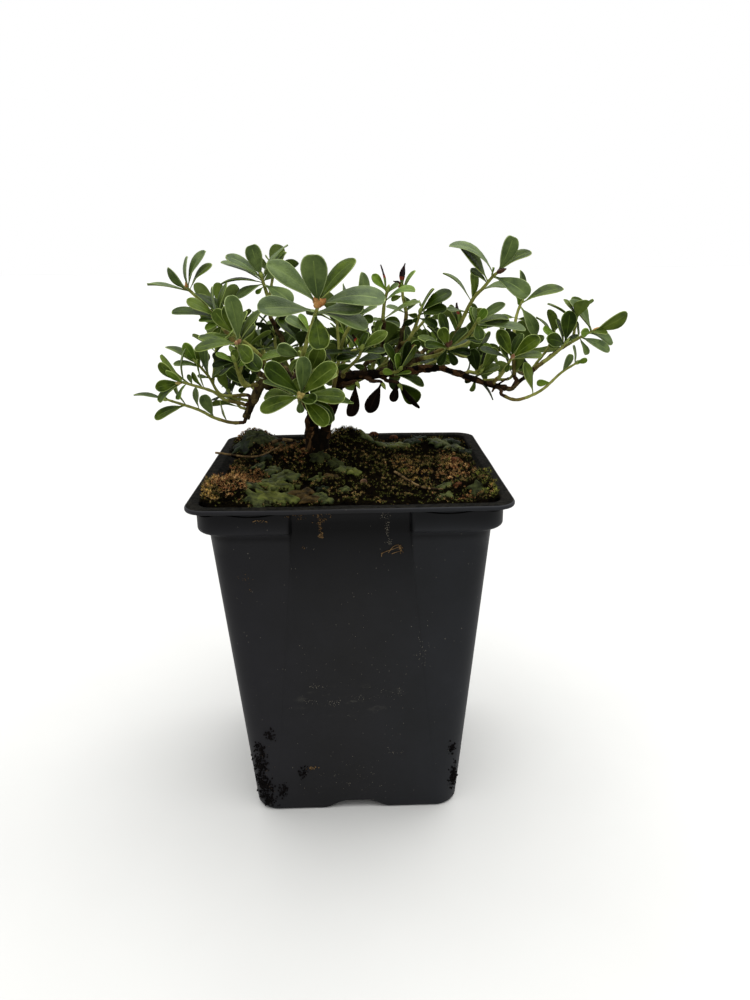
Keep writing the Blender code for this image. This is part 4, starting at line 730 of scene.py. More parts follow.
# Leaves with a tone of their own: shoot, tone, and each one's node and place in the node's list.
LEAF_TONES = (
    ("front_top_shoot", "sunlit_sheen", ((0, 0), (0, 2), (0, 3), (1, 0), (1, 1), (1, 2))),
    ("front_top_shoot", "mature", ((0, 1), (1, 3))),
    ("front_low_shoot", "olive", ((0, 3),)),
    ("front_low_shoot", "deep", ((0, 10),)),
    ("centre_top_shoot", "fresh", ((0, 0), (1, 0))),
    ("centre_top_shoot", "scorched", ((0, 1),)),
    ("centre_tip_shoot", "scorched", ((0, 0), (0, 1))),
    ("centre_tip_shoot", "fresh", ((0, 2),)),
    ("centre_left_shoot", "fresh", ((0, 3),)),
    ("centre_low_shoot", "scorched", ((0, 1),)),
    ("bough_shoot", "fresh", ((0, 3), (0, 6), (0, 9))),
    ("bough_shoot", "brown", ((0, 4), (0, 5))),
    ("hanging_shoot", "dead", ((0, 0),)),
    ("hanging_left_shoot", "dead", ((0, 0),)),
    ("hanging_right_shoot", "dead", ((0, 0), (0, 1))),
    ("hanging_right_shoot", "deep", ((0, 2),)),
    ("top_left_shoot", "fresh", ((1, 5),)),
    ("low_left_upper_shoot", "fresh", ((0, 0),)),
    ("low_left_middle_shoot", "fresh", ((0, 4),)),
    ("right_top_shoot", "fresh", ((1, 2),)),
    ("right_top_shoot", "mature", ((2, 0), (0, 1))),
    ("right_top_shoot", "sunlit_sheen", ((1, 0), (0, 0))),
    ("far_right_shoot", "sunlit_sheen", ((0, 1),)),
    ("far_right_shoot", "mature", ((0, 2),)),
    ("right_top_shoot", "scorched", ((6, 0),)),
    ("right_mid_shoot", "fresh", ((0, 7),)),
    ("far_right_inner_shoot", "fresh", ((0, 4),)),
)
NOTCHED = {("top_left_shoot", 0, 0), ("front_top_shoot", 0, 0), ("right_top_shoot", 0, 0)}


def linear(code):
    """An sRGB hex colour as linear values."""
    values = [int(code[k : k + 2], 16) / 255 for k in (1, 3, 5)]
    return (*[v / 12.92 if v <= 0.04045 else ((v + 0.055) / 1.055) ** 2.4 for v in values], 1.0)


def cells(size):
    """The scale of a pattern whose cells are this many millimetres wide."""
    return 1 / (size * MM)


def add(material, kind, inputs, stops=(), **settings):
    """Adds a shader node with its settings, inputs and the (place, colour) stops of a ramp.

    An input is a value, a hex colour, a socket, or a node whose first output is linked.
    """
    tree = material.node_tree
    made = tree.nodes.new("ShaderNode" + kind)
    for name, value in settings.items():
        setattr(made, name, value)
    for name, value in inputs.items():
        value = linear(value) if isinstance(value, str) else value
        value = value.outputs[0] if isinstance(value, bpy.types.Node) else value
        if isinstance(value, bpy.types.NodeSocket):
            tree.links.new(value, made.inputs[name])
        else:
            made.inputs[name].default_value = value
    if stops:
        elements = made.color_ramp.elements
        for element, (place, code) in zip(elements, (stops[0], stops[-1])):
            element.position, element.color = place, linear(code)
        for place, code in stops[1:-1]:
            elements.new(place).color = linear(code)
    return made


def surface_of(material, **inputs):
    """Ends a material in its surface node; an input's name has _ for each blank."""
    inputs = {name.replace("_", " "): value for name, value in inputs.items()}
    add(material, "OutputMaterial", {"Surface": add(material, "BsdfPrincipled", inputs)})
    return material


def new_material(name):
    """An empty material and the object's own coordinates."""
    made = bpy.data.materials.new(name)
    made.use_nodes = True
    made.node_tree.nodes.clear()
    return made, add(made, "TexCoord", {}).outputs["Object"]


def moulded_polypropylene():
    """Injection moulded black polypropylene: semi-matt, with grains of dust and dried splashes, and painted
    shade that darkens it towards the flange and on the left side.
    """
    made, where = new_material("moulded_polypropylene")
    blend = {"data_type": "RGBA"}
    multiply = {"blend_type": "MULTIPLY", **blend}
    axes = add(made, "SeparateXYZ", {"Vector": where}).outputs
    side_x = add(made, "Math", {0: axes["X"]}, operation="ABSOLUTE")
    side_y = add(made, "Math", {0: axes["Y"]}, operation="ABSOLUTE")
    mottle = add(made, "TexNoise", {"Vector": where, "Scale": cells(26.316), "Detail": 5, "Roughness": 0.65})
    plain = add(made, "ValToRGB", {"Fac": mottle}, ((0.35, "#1e1f21"), (0.7, "#222326")))
    # Painted shade by height under the flange, first on the sunk panels, then on the corners' collars, and
    # painted shade by side, darker on the left.
    inputs = {"Value": axes["Z"], "From Min": SHADE_FROM * MM, "From Max": SHADE_TO * MM}
    height = add(made, "MapRange", inputs)
    panel = add(made, "ValToRGB", {"Fac": height}, PANEL_SHADE)
    collar = add(made, "ValToRGB", {"Fac": height}, COLLAR_SHADE)
    along = add(made, "Math", {0: side_x, 1: side_y}, operation="MINIMUM")
    edge = PANEL_TOP_HALF - 0.1
    inputs = {"Value": along, "From Min": edge * MM, "From Max": (edge + PANEL_EDGE) * MM}
    off_panel = add(made, "MapRange", inputs)
    dust_and_shade = add(made, "Mix", {"Factor": off_panel, "A": panel, "B": collar}, **blend).outputs["Result"]
    plain = add(made, "Mix", {"Factor": 1.0, "A": plain, "B": dust_and_shade}, **multiply).outputs["Result"]
    side = add(made, "MapRange", {"Value": axes["X"], "From Min": -40 * MM, "From Max": 40 * MM})
    tint = add(made, "ValToRGB", {"Fac": side}, SIDE_TINTS)
    plain = add(made, "Mix", {"Factor": 1.0, "A": plain, "B": tint}, **multiply).outputs["Result"]
    patches = add(made, "TexNoise", {"Vector": where, "Scale": cells(16.667), "Detail": 3.0})
    for size, radius, share in DUST_GRAINS:
        grains = add(made, "TexVoronoi", {"Vector": where, "Scale": cells(size), "Randomness": 1.0})
        chance = add(made, "SeparateColor", {"Color": grains.outputs["Color"]})
        inputs = {"Value": patches, "From Min": 0.4, "From Max": 0.65, "To Min": 0.01, "To Max": share * 2}
        limit = add(made, "MapRange", inputs)
        near = add(made, "Math", {0: grains, 1: radius}, operation="LESS_THAN")
        chosen = add(made, "Math", {0: chance, 1: limit}, operation="LESS_THAN")
        seen = add(made, "Math", {0: near, 1: chosen}, operation="MULTIPLY")
        plain = add(made, "Mix", {"Factor": seen, "A": plain, "B": "#5f5c54"}, **blend).outputs["Result"]
    # Dried splash film in a band, broken into streaks 9 mm wide and 4 mm high.
    stretched = add(made, "Mapping", {"Vector": where, "Scale": (cells(9.091), cells(9.091), cells(3.846))})
    film = add(made, "TexNoise", {"Vector": stretched, "Scale": 1.0, "Detail": 6, "Roughness": 0.7})
    above = add(made, "Math", {0: axes["Z"], 1: SPLASH_Z * MM}, operation="SUBTRACT")
    away = add(made, "Math", {0: above}, operation="ABSOLUTE")
    inputs = {"Value": away, "From Max": SPLASH_REACH * MM, "To Min": 0.42, "To Max": 0.0}
    band = add(made, "MapRange", inputs)
    patchy = add(made, "MapRange", {"Value": film, "From Min": 0.56, "From Max": 0.74})
    middle = add(made, "MapRange", {"Value": side_x, "From Min": 24 * MM, "From Max": 18 * MM})
    splash = add(made, "Math", {0: band, 1: patchy}, operation="MULTIPLY")
    splash = add(made, "Math", {0: splash, 1: middle}, operation="MULTIPLY")
    plain = add(made, "Mix", {"Factor": splash, "A": plain, "B": "#5d5b52"}, **blend).outputs["Result"]
    rough = add(made, "MapRange", {"Value": mottle, "To Min": 0.4, "To Max": 0.56})
    fine = add(made, "TexNoise", {"Vector": where, "Scale": cells(0.38462), "Detail": 2.0})
    relief = add(made, "Bump", {"Height": fine, "Strength": 0.06, "Distance": 0.2 * MM})
    return surface_of(
        made, Base_Color=plain, Roughness=rough, Normal=relief, IOR=1.49, Specular_IOR_Level=0.07
    )


def damp_peat(name="damp_peat", dark="#030202", pale="#120d07", specular=0.01):
    """Damp milled peat: near black crumbs of 2 mm with brown fibre ends, no gloss."""
    made, where = new_material(name)
    lumps = add(made, "TexNoise", {"Vector": where, "Scale": cells(2.381), "Detail": 6, "Roughness": 0.75})
    colour = add(made, "ValToRGB", {"Fac": lumps}, ((0.42, dark), (0.72, pale)))
    relief = add(made, "Bump", {"Height": lumps, "Strength": 0.8, "Distance": 0.8 * MM})
    return surface_of(made, Base_Color=colour, Normal=relief, Roughness=0.95, Specular_IOR_Level=specular)


def living_tissue(name, low, high, rough=0.5, specular=0.4, patch=6.6667, bump=0.25):
    """Plant tissue: two tones drifting in patches, a satin skin, and a relief of small veins."""
    made, where = new_material(name)
    drift = add(made, "TexNoise", {"Vector": where, "Scale": cells(patch), "Detail": 3.0, "Roughness": 0.6})
    colour = add(made, "ValToRGB", {"Fac": drift}, ((0.36, low), (0.66, high)))
    # The net of veins is drawn 0.7 mm wide, coarser than real, so that it shows.
    inputs = {"Vector": where, "Scale": cells(0.71429)}
    net = add(made, "TexVoronoi", inputs, feature="DISTANCE_TO_EDGE")
    relief = add(made, "Bump", {"Height": net, "Strength": bump, "Distance": 0.2 * MM})
    return surface_of(made, Base_Color=colour, Normal=relief, Roughness=rough, Specular_IOR_Level=specular)


def flaking_bark(name, dark, mid, pale, stretch=1.0):
    """Old bark: brown-black fissures between thin brown plates; stretch draws them out upwards."""
    made, where = new_material(name)
    drawn = add(made, "Mapping", {"Vector": where, "Scale": (1.0, 1.0, 1.0 / stretch)})
    # Plates of 2.4 mm, and fibres of about 1 mm.
    plates = add(made, "TexVoronoi", {"Vector": drawn, "Scale": cells(2.381)})
    fibres = add(made, "TexNoise", {"Vector": drawn, "Scale": cells(1.1111), "Detail": 6, "Roughness": 0.75})
    shade = add(made, "SeparateColor", {"Color": plates.outputs["Color"]})
    mixed = add(made, "Math", {0: shade.outputs["Green"], 1: fibres}, operation="MULTIPLY")
    colour = add(made, "ValToRGB", {"Fac": mixed}, ((0.1, dark), (0.34, mid), (0.62, pale)))
    relief = add(made, "Bump", {"Height": fibres, "Strength": 0.8, "Distance": 0.6 * MM})
    return surface_of(made, Base_Color=colour, Normal=relief, Roughness=0.85, Specular_IOR_Level=0.03)


def pale_board():
    """Matt painted board for the floor, with a barely visible grain."""
    made, where = new_material("pale_board")
    grain = add(made, "TexNoise", {"Vector": where, "Scale": cells(111.11), "Detail": 3.0})
    colour = add(made, "ValToRGB", {"Fac": grain}, ((0.3, FLOOR_LOW), (0.7, FLOOR_HIGH)))
    return surface_of(made, Base_Color=colour, Roughness=0.9, Specular_IOR_Level=0.1)


class Pile:
    """Points in millimetres, faces and each face's finish, gathered for one piece."""

    def __init__(self):
        self.points, self.faces, self.finishes = [], [], []

    def add(self, points, faces, finish=0):
        base = len(self.points)
        self.points.extend(points)
        self.faces.extend(tuple(base + k for k in face) for face in faces)
        self.finishes.extend(finish if isinstance(finish, list) else [finish] * len(faces))

    def plain(self, name):
        """An undressed object of these faces."""
        mesh = bpy.data.meshes.new(name)
        mesh.from_pydata([Vector(p) * MM for p in self.points], [], self.faces)
        made = bpy.data.objects.new(name, mesh)
        bpy.context.scene.collection.objects.link(made)
        return made

    def piece(self, name, materials, slot, nodes=(), smooth=True):
        made = self.plain(name)
        for finish in materials:
            made.data.materials.append(finish)
        made.data.polygons.foreach_set("material_index", self.finishes)
        if smooth:
            made.data.shade_smooth()
        return dress(made, nodes)


def dress(piece, nodes=()):
    """Ties a finished piece to the body and the solids it stands for."""
    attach(piece, "root")
    if nodes:
        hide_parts(*nodes)
    return piece


def loft(rings, cap_start=True, cap_end=True):
    """A closed shape through rings of equal count, each anticlockwise seen from the last one."""
    count = len(rings[0])
    points = [p for ring in rings for p in ring]
    faces = []
    for low in range(0, count * (len(rings) - 1), count):
        for k in range(count):
            after = (k + 1) % count
            faces.append((low + k, low + after, low + count + after, low + count + k))
    if cap_start:
        faces.append(tuple(reversed(range(count))))
    if cap_end:
        faces.append(tuple(range(len(points) - count, len(points))))
    return points, faces


def ease(share):
    """A smooth step from 0 to 1."""
    share = min(max(share, 0.0), 1.0)
    return share * share * (3 - 2 * share)


def direction(heading, lean):
    """The way of a heading and a lean towards the front."""
    h, tilt = radians(heading), radians(lean)
    return Vector((cos(h) * cos(tilt), -sin(tilt), sin(h) * cos(tilt)))


def wall_half(z):
    return WALL_FOOT_HALF + (WALL_TOP_HALF - WALL_FOOT_HALF) * z / COLLAR_FOOT


def wall_radius(z):
    return WALL_FOOT_RADIUS + (WALL_TOP_RADIUS - WALL_FOOT_RADIUS) * z / COLLAR_FOOT


def panel_half(z):
    share = min(max(z / COLLAR_FOOT, 0.0), 1.0)
    return PANEL_FOOT_HALF + (PANEL_TOP_HALF - PANEL_FOOT_HALF) * share


def panel_plane(z):
    return wall_half(z) - PANEL_DEPTH * z / COLLAR_FOOT


def arch_rise(z):
    return ARCH_RISE * max(0.0, 1 - z / ARCH_FADE)


def soil_height(x, y):
    height = SOIL_EDGE
    for mound_x, mound_y, reach, rise in MOUNDS:
        near = ((x - mound_x) ** 2 + (y - mound_y) ** 2) / reach**2
        height += rise * exp(-MOUND_FALL * near)
    return height


def trunk_ring(sides, rise, x, half_width, half_depth, relief=None):
    """A ring of the trunk, lobed towards its foot, with an optional relief(turn) in mm."""
    inside = min(max(rise, 0.0), TRUNK_RINGS[-1][0])
    ring = []
    for k in range(sides):
        turn = 2 * pi * k / sides
        swell = 1 + TRUNK_LOBE_DEPTH * cos(TRUNK_LOBES * turn) * (1 - inside / TRUNK_RINGS[-1][0])
        out = relief(turn) if relief else 0.0
        px = x + (half_width * swell + out) * cos(turn)
        py = TRUNK_Y + (half_depth * swell + out) * sin(turn)
        ring.append(Vector((px, py, SOIL_PAD_Z + GAP + rise)))
    return ring


def smooth_path(stops, steps):
    """A Catmull-Rom curve through the stops, with its points steps to a span."""
    stops = [stops[0] * 2 - stops[1]] + stops + [stops[-1] * 2 - stops[-2]]
    path = []
    for before, here, there, beyond in zip(stops, stops[1:], stops[2:], stops[3:]):
        for k in range(steps):
            s = k / steps
            curve = here * 2 + (there - before) * s
            curve += (before * 2 - here * 5 + there * 4 - beyond) * s * s
            curve += (here * 3 - before - there * 3 + beyond) * s**3
            path.append(curve * 0.5)
    path.append(stops[-2])
    return path


def bezier_path(start, first, last, end, steps):
    """A cubic Bezier curve from start to end."""
    path = []
    for k in range(steps + 1):
        s = k / steps
        r = 1 - s
        path.append(start * r**3 + first * 3 * r * r * s + last * 3 * r * s * s + end * s**3)
    return path


def tube(path, radii, sides, relief=None):
    """A tapering limb along a path, with an optional relief(angle, along, radius) in mm."""
    ahead = (path[1] - path[0]).normalized()
    across = ahead.orthogonal().normalized()
    rings, along = [], 0.0
    for k, (centre, radius) in enumerate(zip(path, radii)):
        if 0 < k < len(path) - 1:
            ahead = (path[k + 1] - path[k - 1]).normalized()
        elif k:
            ahead = (path[k] - path[k - 1]).normalized()
        if k:
            along += (path[k] - path[k - 1]).length
        across = (across - ahead * across.dot(ahead)).normalized()
        other = ahead.cross(across)
        ring = []
        for side in range(sides):
            a = 2 * pi * side / sides
            out = radius + (relief(a, along, radius) if relief else 0.0)
            ring.append(centre + (across * cos(a) + other * sin(a)) * out)
        rings.append(ring)
    return loft(rings)


class Limb:
    """A tapering limb's path and thickness, which its own shoots are set on."""

    def __init__(self, path, start_radius, end_radius):
        self.path = path
        spans = [(b - a).length for a, b in zip(path, path[1:])]
        self.shares = [sum(spans[:k]) / sum(spans) for k in range(len(path))]
        self.radii = [start_radius + (end_radius - start_radius) * s for s in self.shares]

    def at(self, share):
        """Centre, direction and radius at a share of the length."""
        for k in range(1, len(self.path)):
            if share <= self.shares[k] or k == len(self.path) - 1:
                step = (share - self.shares[k - 1]) / (self.shares[k] - self.shares[k - 1])
                centre = self.path[k - 1].lerp(self.path[k], step)
                ahead = (self.path[k] - self.path[k - 1]).normalized()
                radius = self.radii[k - 1] + (self.radii[k] - self.radii[k - 1]) * step
                return centre, ahead, radius

    def seat(self, share, goal):
        """Where a shoot bound for goal starts, and its first direction."""
        centre, ahead, radius = self.at(share)
        if share >= 1:
            return centre + ahead * GAP, ahead
        out = goal - centre
        out = (out - ahead * out.dot(ahead)).normalized()
        return centre + out * (radius + GAP), out


def grow_boughs(space):
    """The boughs of the source, as limbs that the space keeps clear."""
    limbs = {}
    for name, parent, share, passed, end, start_radius, end_radius in BOUGHS:
        passed = [Vector(p) for p in passed]
        if parent == "trunk":
            start = Vector((*share, SOIL_PAD_Z + 2 * GAP + TRUNK_RINGS[-1][0]))
            ahead = UP
        else:
            start, ahead = limbs[parent].seat(share, passed[0])
        lead = start + ahead * (start_radius * 1.3)
        path = smooth_path([start, lead] + passed + [Vector(end)], 3)
        del path[1:3]
        limbs[name] = Limb(path, start_radius, end_radius)
        shape = tube(path, limbs[name].radii, LIMB_SIDES)
        space.take(name, shape, shape)
    return limbs


class Space:
    """The solids placed so far, asked whether a new one stays clear of them."""

    def __init__(self):
        self.kept = []

    @staticmethod
    def wrap(shape):
        points, faces = shape
        middle = sum((Vector(p) for p in points), Vector()) / len(points)
        reach = max((Vector(p) - middle).length for p in points)
        return middle, reach, BVHTree.FromPolygons(points, faces)

    def take(self, owner, whole, outer):
        self.kept.append((owner, self.wrap(whole), self.wrap(outer)))

    def clear(self, owner, whole, outer):
        """True where a new piece touches nothing: of its own shoot, only outer parts count."""
        new_whole, new_outer = self.wrap(whole), self.wrap(outer)
        for other, kept_whole, kept_outer in self.kept:
            new, kept = (new_outer, kept_outer) if other == owner else (new_whole, kept_whole)
            if (new[0] - kept[0]).length > new[1] + kept[1]:
                continue
            if new[2].overlap(kept[2]):
                return False
        return True


def leaf_upper(chord, axis, face):
    """The way a leaf's upper side looks: face is the share of it seen from the front.

    Without a face the upper side looks towards the shoot's axis.
    """
    if face is None:
        upper = axis - chord * axis.dot(chord)
        return (upper if upper.length > 0.15 else UP - chord * chord.z).normalized()
    front = (FRONT - chord * FRONT.dot(chord)).normalized()
    side = chord.cross(front)
    if side.dot(axis) < 0:
        side.negate()
    return front * face + side * sqrt(1 - face * face)


def leaf_shape(root, chord, upper, length, curl, swell=0.0, outer_only=False):
    """A leaf as a keeled blade from a point sunk in its twig, bending away from its upper side."""
    side = chord.cross(upper)
    bend = radians(curl)
    ahead = chord * cos(bend / 2) + upper * sin(bend / 2)
    above = upper * cos(bend / 2) - chord * sin(bend / 2)
    points = []
    for share, half, keel in LEAF_SECTIONS + ((1.0, 0.0, 0.0),):
        turn = bend * share
        run = ahead * sin(turn) - above * (1 - cos(turn))
        place = root + run * (length / bend)
        top = above * cos(turn) + ahead * sin(turn)
        out = side * (half * length + swell)
        lift = top * (LEAF_DISH * half * length + swell)
        points += [place + out + lift, place - top * (keel * length + swell), place - out + lift]
    tip = points[-2]
    points[-3:] = [tip + (tip - root).normalized() * swell]
    faces = [(0, 1, 4, 3), (1, 2, 5, 4), (2, 0, 3, 5), (3, 4, 6), (4, 5, 6), (5, 3, 6)]
    if outer_only:
        return points, faces + [(2, 1, 0)]
    points.append(root)
    return points, faces + [(7, 1, 0), (7, 2, 1), (7, 0, 2)]


def heading_lean(way):
    """The heading and lean of a way."""
    return degrees(atan2(way.z, way.x)), degrees(asin(max(-1, min(1, -way.y))))


def lead_twig(entry, limbs, space):
    """The twig a shoot stands on, its tip moved a little where it would touch another piece."""
    name, parent, share, passed, tip, facing = entry[:6]
    facing = direction(*facing)
    passed = [Vector(p) for p in passed]
    start, ahead = limbs[parent].seat(share, passed[0] if passed else Vector(tip))
    thick = min(TWIG_RADIUS, limbs[parent].at(share)[2])
    for turn, rise in NUDGES:
        goal = Vector(tip) + Vector((turn, rise, turn - rise)) * TWIG_NUDGE
        reach = (goal - start).length
        if passed:
            path = smooth_path([start, start + ahead * 1.5] + passed + [goal], 3)
            del path[1:3]
        else:
            handle = reach * TWIG_HANDLE
            path = bezier_path(start, start + ahead * handle, goal - facing * handle, goal, TWIG_RINGS)
        twig = Limb(path, thick, TWIG_TIP_RADIUS)
        wide = tube(path[1:], [radius + CLEAR for radius in twig.radii[1:]], 3)
        if space.clear(name, wide, wide):
            shape = tube(path, twig.radii, 3)
            space.take(name, shape, shape)
            return twig
    raise ValueError(name + " has no clear way to its tip")


def fine_ring(half, radius, z, panel, plane, rise=0.0):
    """A rounded square round the pot's axis, with soft panel edges and a smooth arch."""
    straight = half - radius
    stops = [-panel + PANEL_EDGE * share for share in POT_EDGE_SHARES]
    flank = ARCH_HALF - ARCH_FLAT
    stops += [-ARCH_HALF + flank * k / POT_ARCH_STEPS for k in range(POT_ARCH_STEPS + 1)]
    side = []
    for along in stops + [-stop for stop in reversed(stops)]:
        over = max(abs(along) - straight, 0.0)
        out = straight + sqrt(radius * radius - over * over)
        sunk = ease((panel - abs(along)) / PANEL_EDGE)
        out += (min(plane, out) - out) * sunk
        side.append((along, out, z + rise * ease((ARCH_HALF - abs(along)) / flank)))
    first = asin(min(max((panel + 0.4 - straight) / radius, 0.0), 1.0))
    for step in range(POT_CORNER_STEPS + 1):
        turn = first + (pi / 2 - 2 * first) * step / POT_CORNER_STEPS
        side.append((straight + radius * sin(turn), straight + radius * cos(turn), z))
    ring = []
    for quarter in range(4):
        spin = Matrix.Rotation(quarter * pi / 2, 3, "Z")
        ring.extend(spin @ Vector((along, -out, height)) for along, out, height in side)
    return ring


def wall_levels():
    """Height and half-width up the tub: rounded foot, straight wall, the collar's round shoulder."""
    levels = []
    for k in range(POT_FOOT_STEPS + 1):
        turn = pi / 2 * k / POT_FOOT_STEPS
        z = FOOT_HEIGHT * (1 - cos(turn))
        levels.append((z, wall_half(z) - FOOT_ROUND * (1 - sin(turn))))
    for k in range(1, 5):
        z = FOOT_HEIGHT + (ARCH_FADE - FOOT_HEIGHT) * k / 4
        levels.append((z, wall_half(z)))
    for k in range(1, POT_WALL_LEVELS + 1):
        z = ARCH_FADE + (COLLAR_FOOT - ARCH_FADE) * k / POT_WALL_LEVELS
        levels.append((z, wall_half(z)))
    for k in range(1, SHOULDER_STEPS + 1):
        share = k / SHOULDER_STEPS
        out = 1 - (1 - share) ** 3
        half = WALL_TOP_HALF + (COLLAR_HALF - WALL_TOP_HALF) * out
        levels.append((COLLAR_FOOT + SHOULDER_HEIGHT * share, half))
    return levels


def tub_rings(inset, lift, lowest=0.0):
    """The tub's rings set in from its outside and lifted, from the lowest height up."""
    rings = []
    for z, half in wall_levels():
        if z < lowest:
            continue
        in_collar = z > COLLAR_FOOT
        radius = COLLAR_RADIUS if in_collar else wall_radius(z)
        height = z + lift * (1.0 if z < ARCH_FADE or in_collar else 0.75)
        panel, plane = panel_half(z) + inset, panel_plane(z) - inset
        rings.append(fine_ring(half - inset, radius - inset, height, panel, plane, arch_rise(z)))
    return rings


def fine_collar(inset, z):
    panel = PANEL_TOP_HALF + inset
    return fine_ring(COLLAR_HALF - inset, COLLAR_RADIUS - inset, z, panel, panel_plane(z) - inset)


def make_pot(finish, dirt_and_shadow):
    """The tub as one closed shell: outside up to the flange, over it, and down the inside."""
    under = POT_HEIGHT - RIM_THICK
    rings = [fine_ring(BASE_HALF, BASE_RADIUS, 0, ARCH_HALF + 1.5, BASE_HALF)]
    rings += tub_rings(0.0, 0.0)
    rings.append(fine_collar(0.0, under - 0.8))
    rings.append(fine_collar(-0.15, under - 0.25))
    rings.append(fine_collar(-0.6, under))
    for inward, up in FLANGE_SECTION:
        half = RIM_HALF - inward
        ring = fine_ring(half, RIM_RADIUS - inward * 0.6, under + up, PANEL_TOP_HALF, half)
        rings.append([p + UP * FLANGE_WAVE * noise.noise(p * 0.035) for p in ring])
    rings.append(fine_collar(WALL + 0.1, under - 0.6))
    rings += list(reversed(tub_rings(WALL, WALL)))
    rings.append(fine_ring(BASE_HALF - WALL, BASE_RADIUS - WALL / 2, WALL, ARCH_HALF + 1.5, BASE_HALF))
    pile = Pile()
    points, faces = loft(rings)
    first = 4 + len(wall_levels()) + FLANGE_SECTION.index(FLANGE_DIRT_FROM)
    smeared = range(first, first + FLANGE_DIRT_RINGS)
    shades = [int(face[0] // len(rings[0]) in smeared) for face in faces]
    shades[-2:] = [0, 0]
    pile.add(points, faces, shades)
    pot = pile.piece("pot_tub", [finish, dirt_and_shadow], "black_plastic", ["pot"])
    drills = Pile()
    for x in (-DRAIN_PLACE, DRAIN_PLACE):
        for y in (-DRAIN_PLACE, DRAIN_PLACE):
            turns = [2 * pi * k / 32 for k in range(32)]
            circle = [(x + DRAIN_RADIUS * cos(a), y + DRAIN_RADIUS * sin(a)) for a in turns]
            drills.add(*loft([[Vector((*p, z)) for p in circle] for z in (-WALL, 2 * WALL)]))
    cutter = drills.plain("drain_cutter")
    cut = pot.modifiers.new("drains", "BOOLEAN")
    cut.operation = "DIFFERENCE"
    cut.object = cutter
    settle(pot)
    bpy.data.objects.remove(cutter, do_unlink=True)
    return pot


def make_webs(finish, dirt_and_shadow):
    """Thin slanted webs under the flange, three round each corner, each sagging in an arc."""
    straight = COLLAR_HALF - COLLAR_RADIUS
    under = POT_HEIGHT - RIM_THICK + 0.1
    panel = PANEL_TOP_HALF + 1.2
    shares = [k / WEB_STEPS for k in range(WEB_STEPS + 1)]
    first = [(panel + (straight - panel) * share, -COLLAR_HALF) for share in shares]
    corner = []
    for share in shares:
        turn = pi / 2 * share
        corner.append((straight + COLLAR_RADIUS * sin(turn), -straight - COLLAR_RADIUS * cos(turn)))
    last = [(-y, -x) for x, y in reversed(first)]
    pile = Pile()
    for quarter in range(4):
        spin = Matrix.Rotation(quarter * pi / 2, 3, "Z")
        for outline in (first, corner, last):
            rings = []
            for share, (x, y) in zip(shares, outline):
                out = Vector((max(x - straight, 0), min(y + straight, 0), 0)).normalized()
                low = under - WEB_SAG * (0.25 + 0.75 * sin(pi * share))
                section = ((WEB_BACK, low), (WEB_LEDGE, low), (WEB_LEDGE + 0.1, low + WEB_RIM))
                section += ((WEB_REACH, under), (WEB_BACK, under))
                rings.append([spin @ (Vector((x, y, 0)) + out * away + UP * z) for away, z in section])
            points, faces = loft(rings)
            # Rows of faces: underside, rim, slope, top and back; the underside and rim get the near black
            # finish, a painted shadow line under each web.
            pile.add(points, faces, [int(k % 5 in (0, 1)) for k in range(len(faces))])
    return pile.piece("flange_webs", [finish, dirt_and_shadow], "black_plastic", smooth=False)


def settle(piece):
    """Makes the piece's mesh the one its modifiers give."""
    bpy.context.view_layer.update()
    graph = bpy.context.evaluated_depsgraph_get()
    mesh = bpy.data.meshes.new_from_object(piece.evaluated_get(graph), depsgraph=graph)
    piece.modifiers.clear()
    piece.data = mesh


def bed(x, y):
    """Height of the fill before its crumbs."""
    reach = hypot(x - TRUNK_X, y - TRUNK_Y)
    settled = ease((PAD_REACH - reach) / (PAD_REACH - SOIL_PAD_RADIUS))
    return soil_height(x, y) * (1 - settled) + SOIL_PAD_Z * settled


def ground(x, y):
    """Height of the peat's surface, with its crumbs."""
    return bed(x, y) + noise.fractal(Vector((x, y, 0)) * 0.17, 1.0, 2.0, 4) * SOIL_ROUGH


def make_soil(finish):
    """The fill: level bottom, walls inside the tub, and a crumbly mounded top."""
    inset = WALL + SOIL_INSET
    back = WALL + SOIL_FLOOR_INSET
    panel, plane = panel_half(ARCH_FADE) + back, panel_plane(ARCH_FADE) - back
    half, radius = wall_half(ARCH_FADE) - back, wall_radius(ARCH_FADE) - back
    rings = [fine_ring(half, radius, ARCH_FADE, panel, plane)]
    rings += tub_rings(inset, inset, COLLAR_FOOT)
    edge = fine_collar(inset + 0.1, SOIL_EDGE - 0.6)
    rings.append(edge)
    middle = Vector((TRUNK_X, TRUNK_Y, 0))
    for step in range(1, SOIL_FINE_RINGS + 1):
        share = (step / SOIL_FINE_RINGS) ** 0.9
        ring = []
        for corner in edge:
            place = corner.lerp(middle, share * 0.97)
            edge_drop = 0.6 * (1 - ease(step / 3))
            mossy = 0.0 if under_lobe(place.x, place.y) else 0.9 * cushion(place.x, place.y)
            settled = ease((hypot(place.x - TRUNK_X, place.y - TRUNK_Y) - 6) / 3)
            height = ground(place.x, place.y) + mossy * settled - edge_drop
            ring.append(Vector((place.x, place.y, height)))
        rings.append(ring)
    pile = Pile()
    pile.add(*loft(rings))
    return pile.piece("peat_fill", [finish], "mossy_soil", ["soil"])


def inside_pot(x, y, margin):
    """True within the soil's square, margin in from the wall of the tub."""
    half = COLLAR_HALF - WALL - margin
    corner = COLLAR_RADIUS - WALL
    over_x, over_y = abs(x) - (half - corner), abs(y) - (half - corner)
    if over_x > 0 and over_y > 0 and hypot(over_x, over_y) > corner:
        return False
    panel = panel_plane(SOIL_EDGE) - WALL - margin
    if abs(x) > (panel if abs(y) < PANEL_TOP_HALF + 2 else half):
        return False
    return abs(y) <= (panel if abs(x) < PANEL_TOP_HALF + 2 else half)


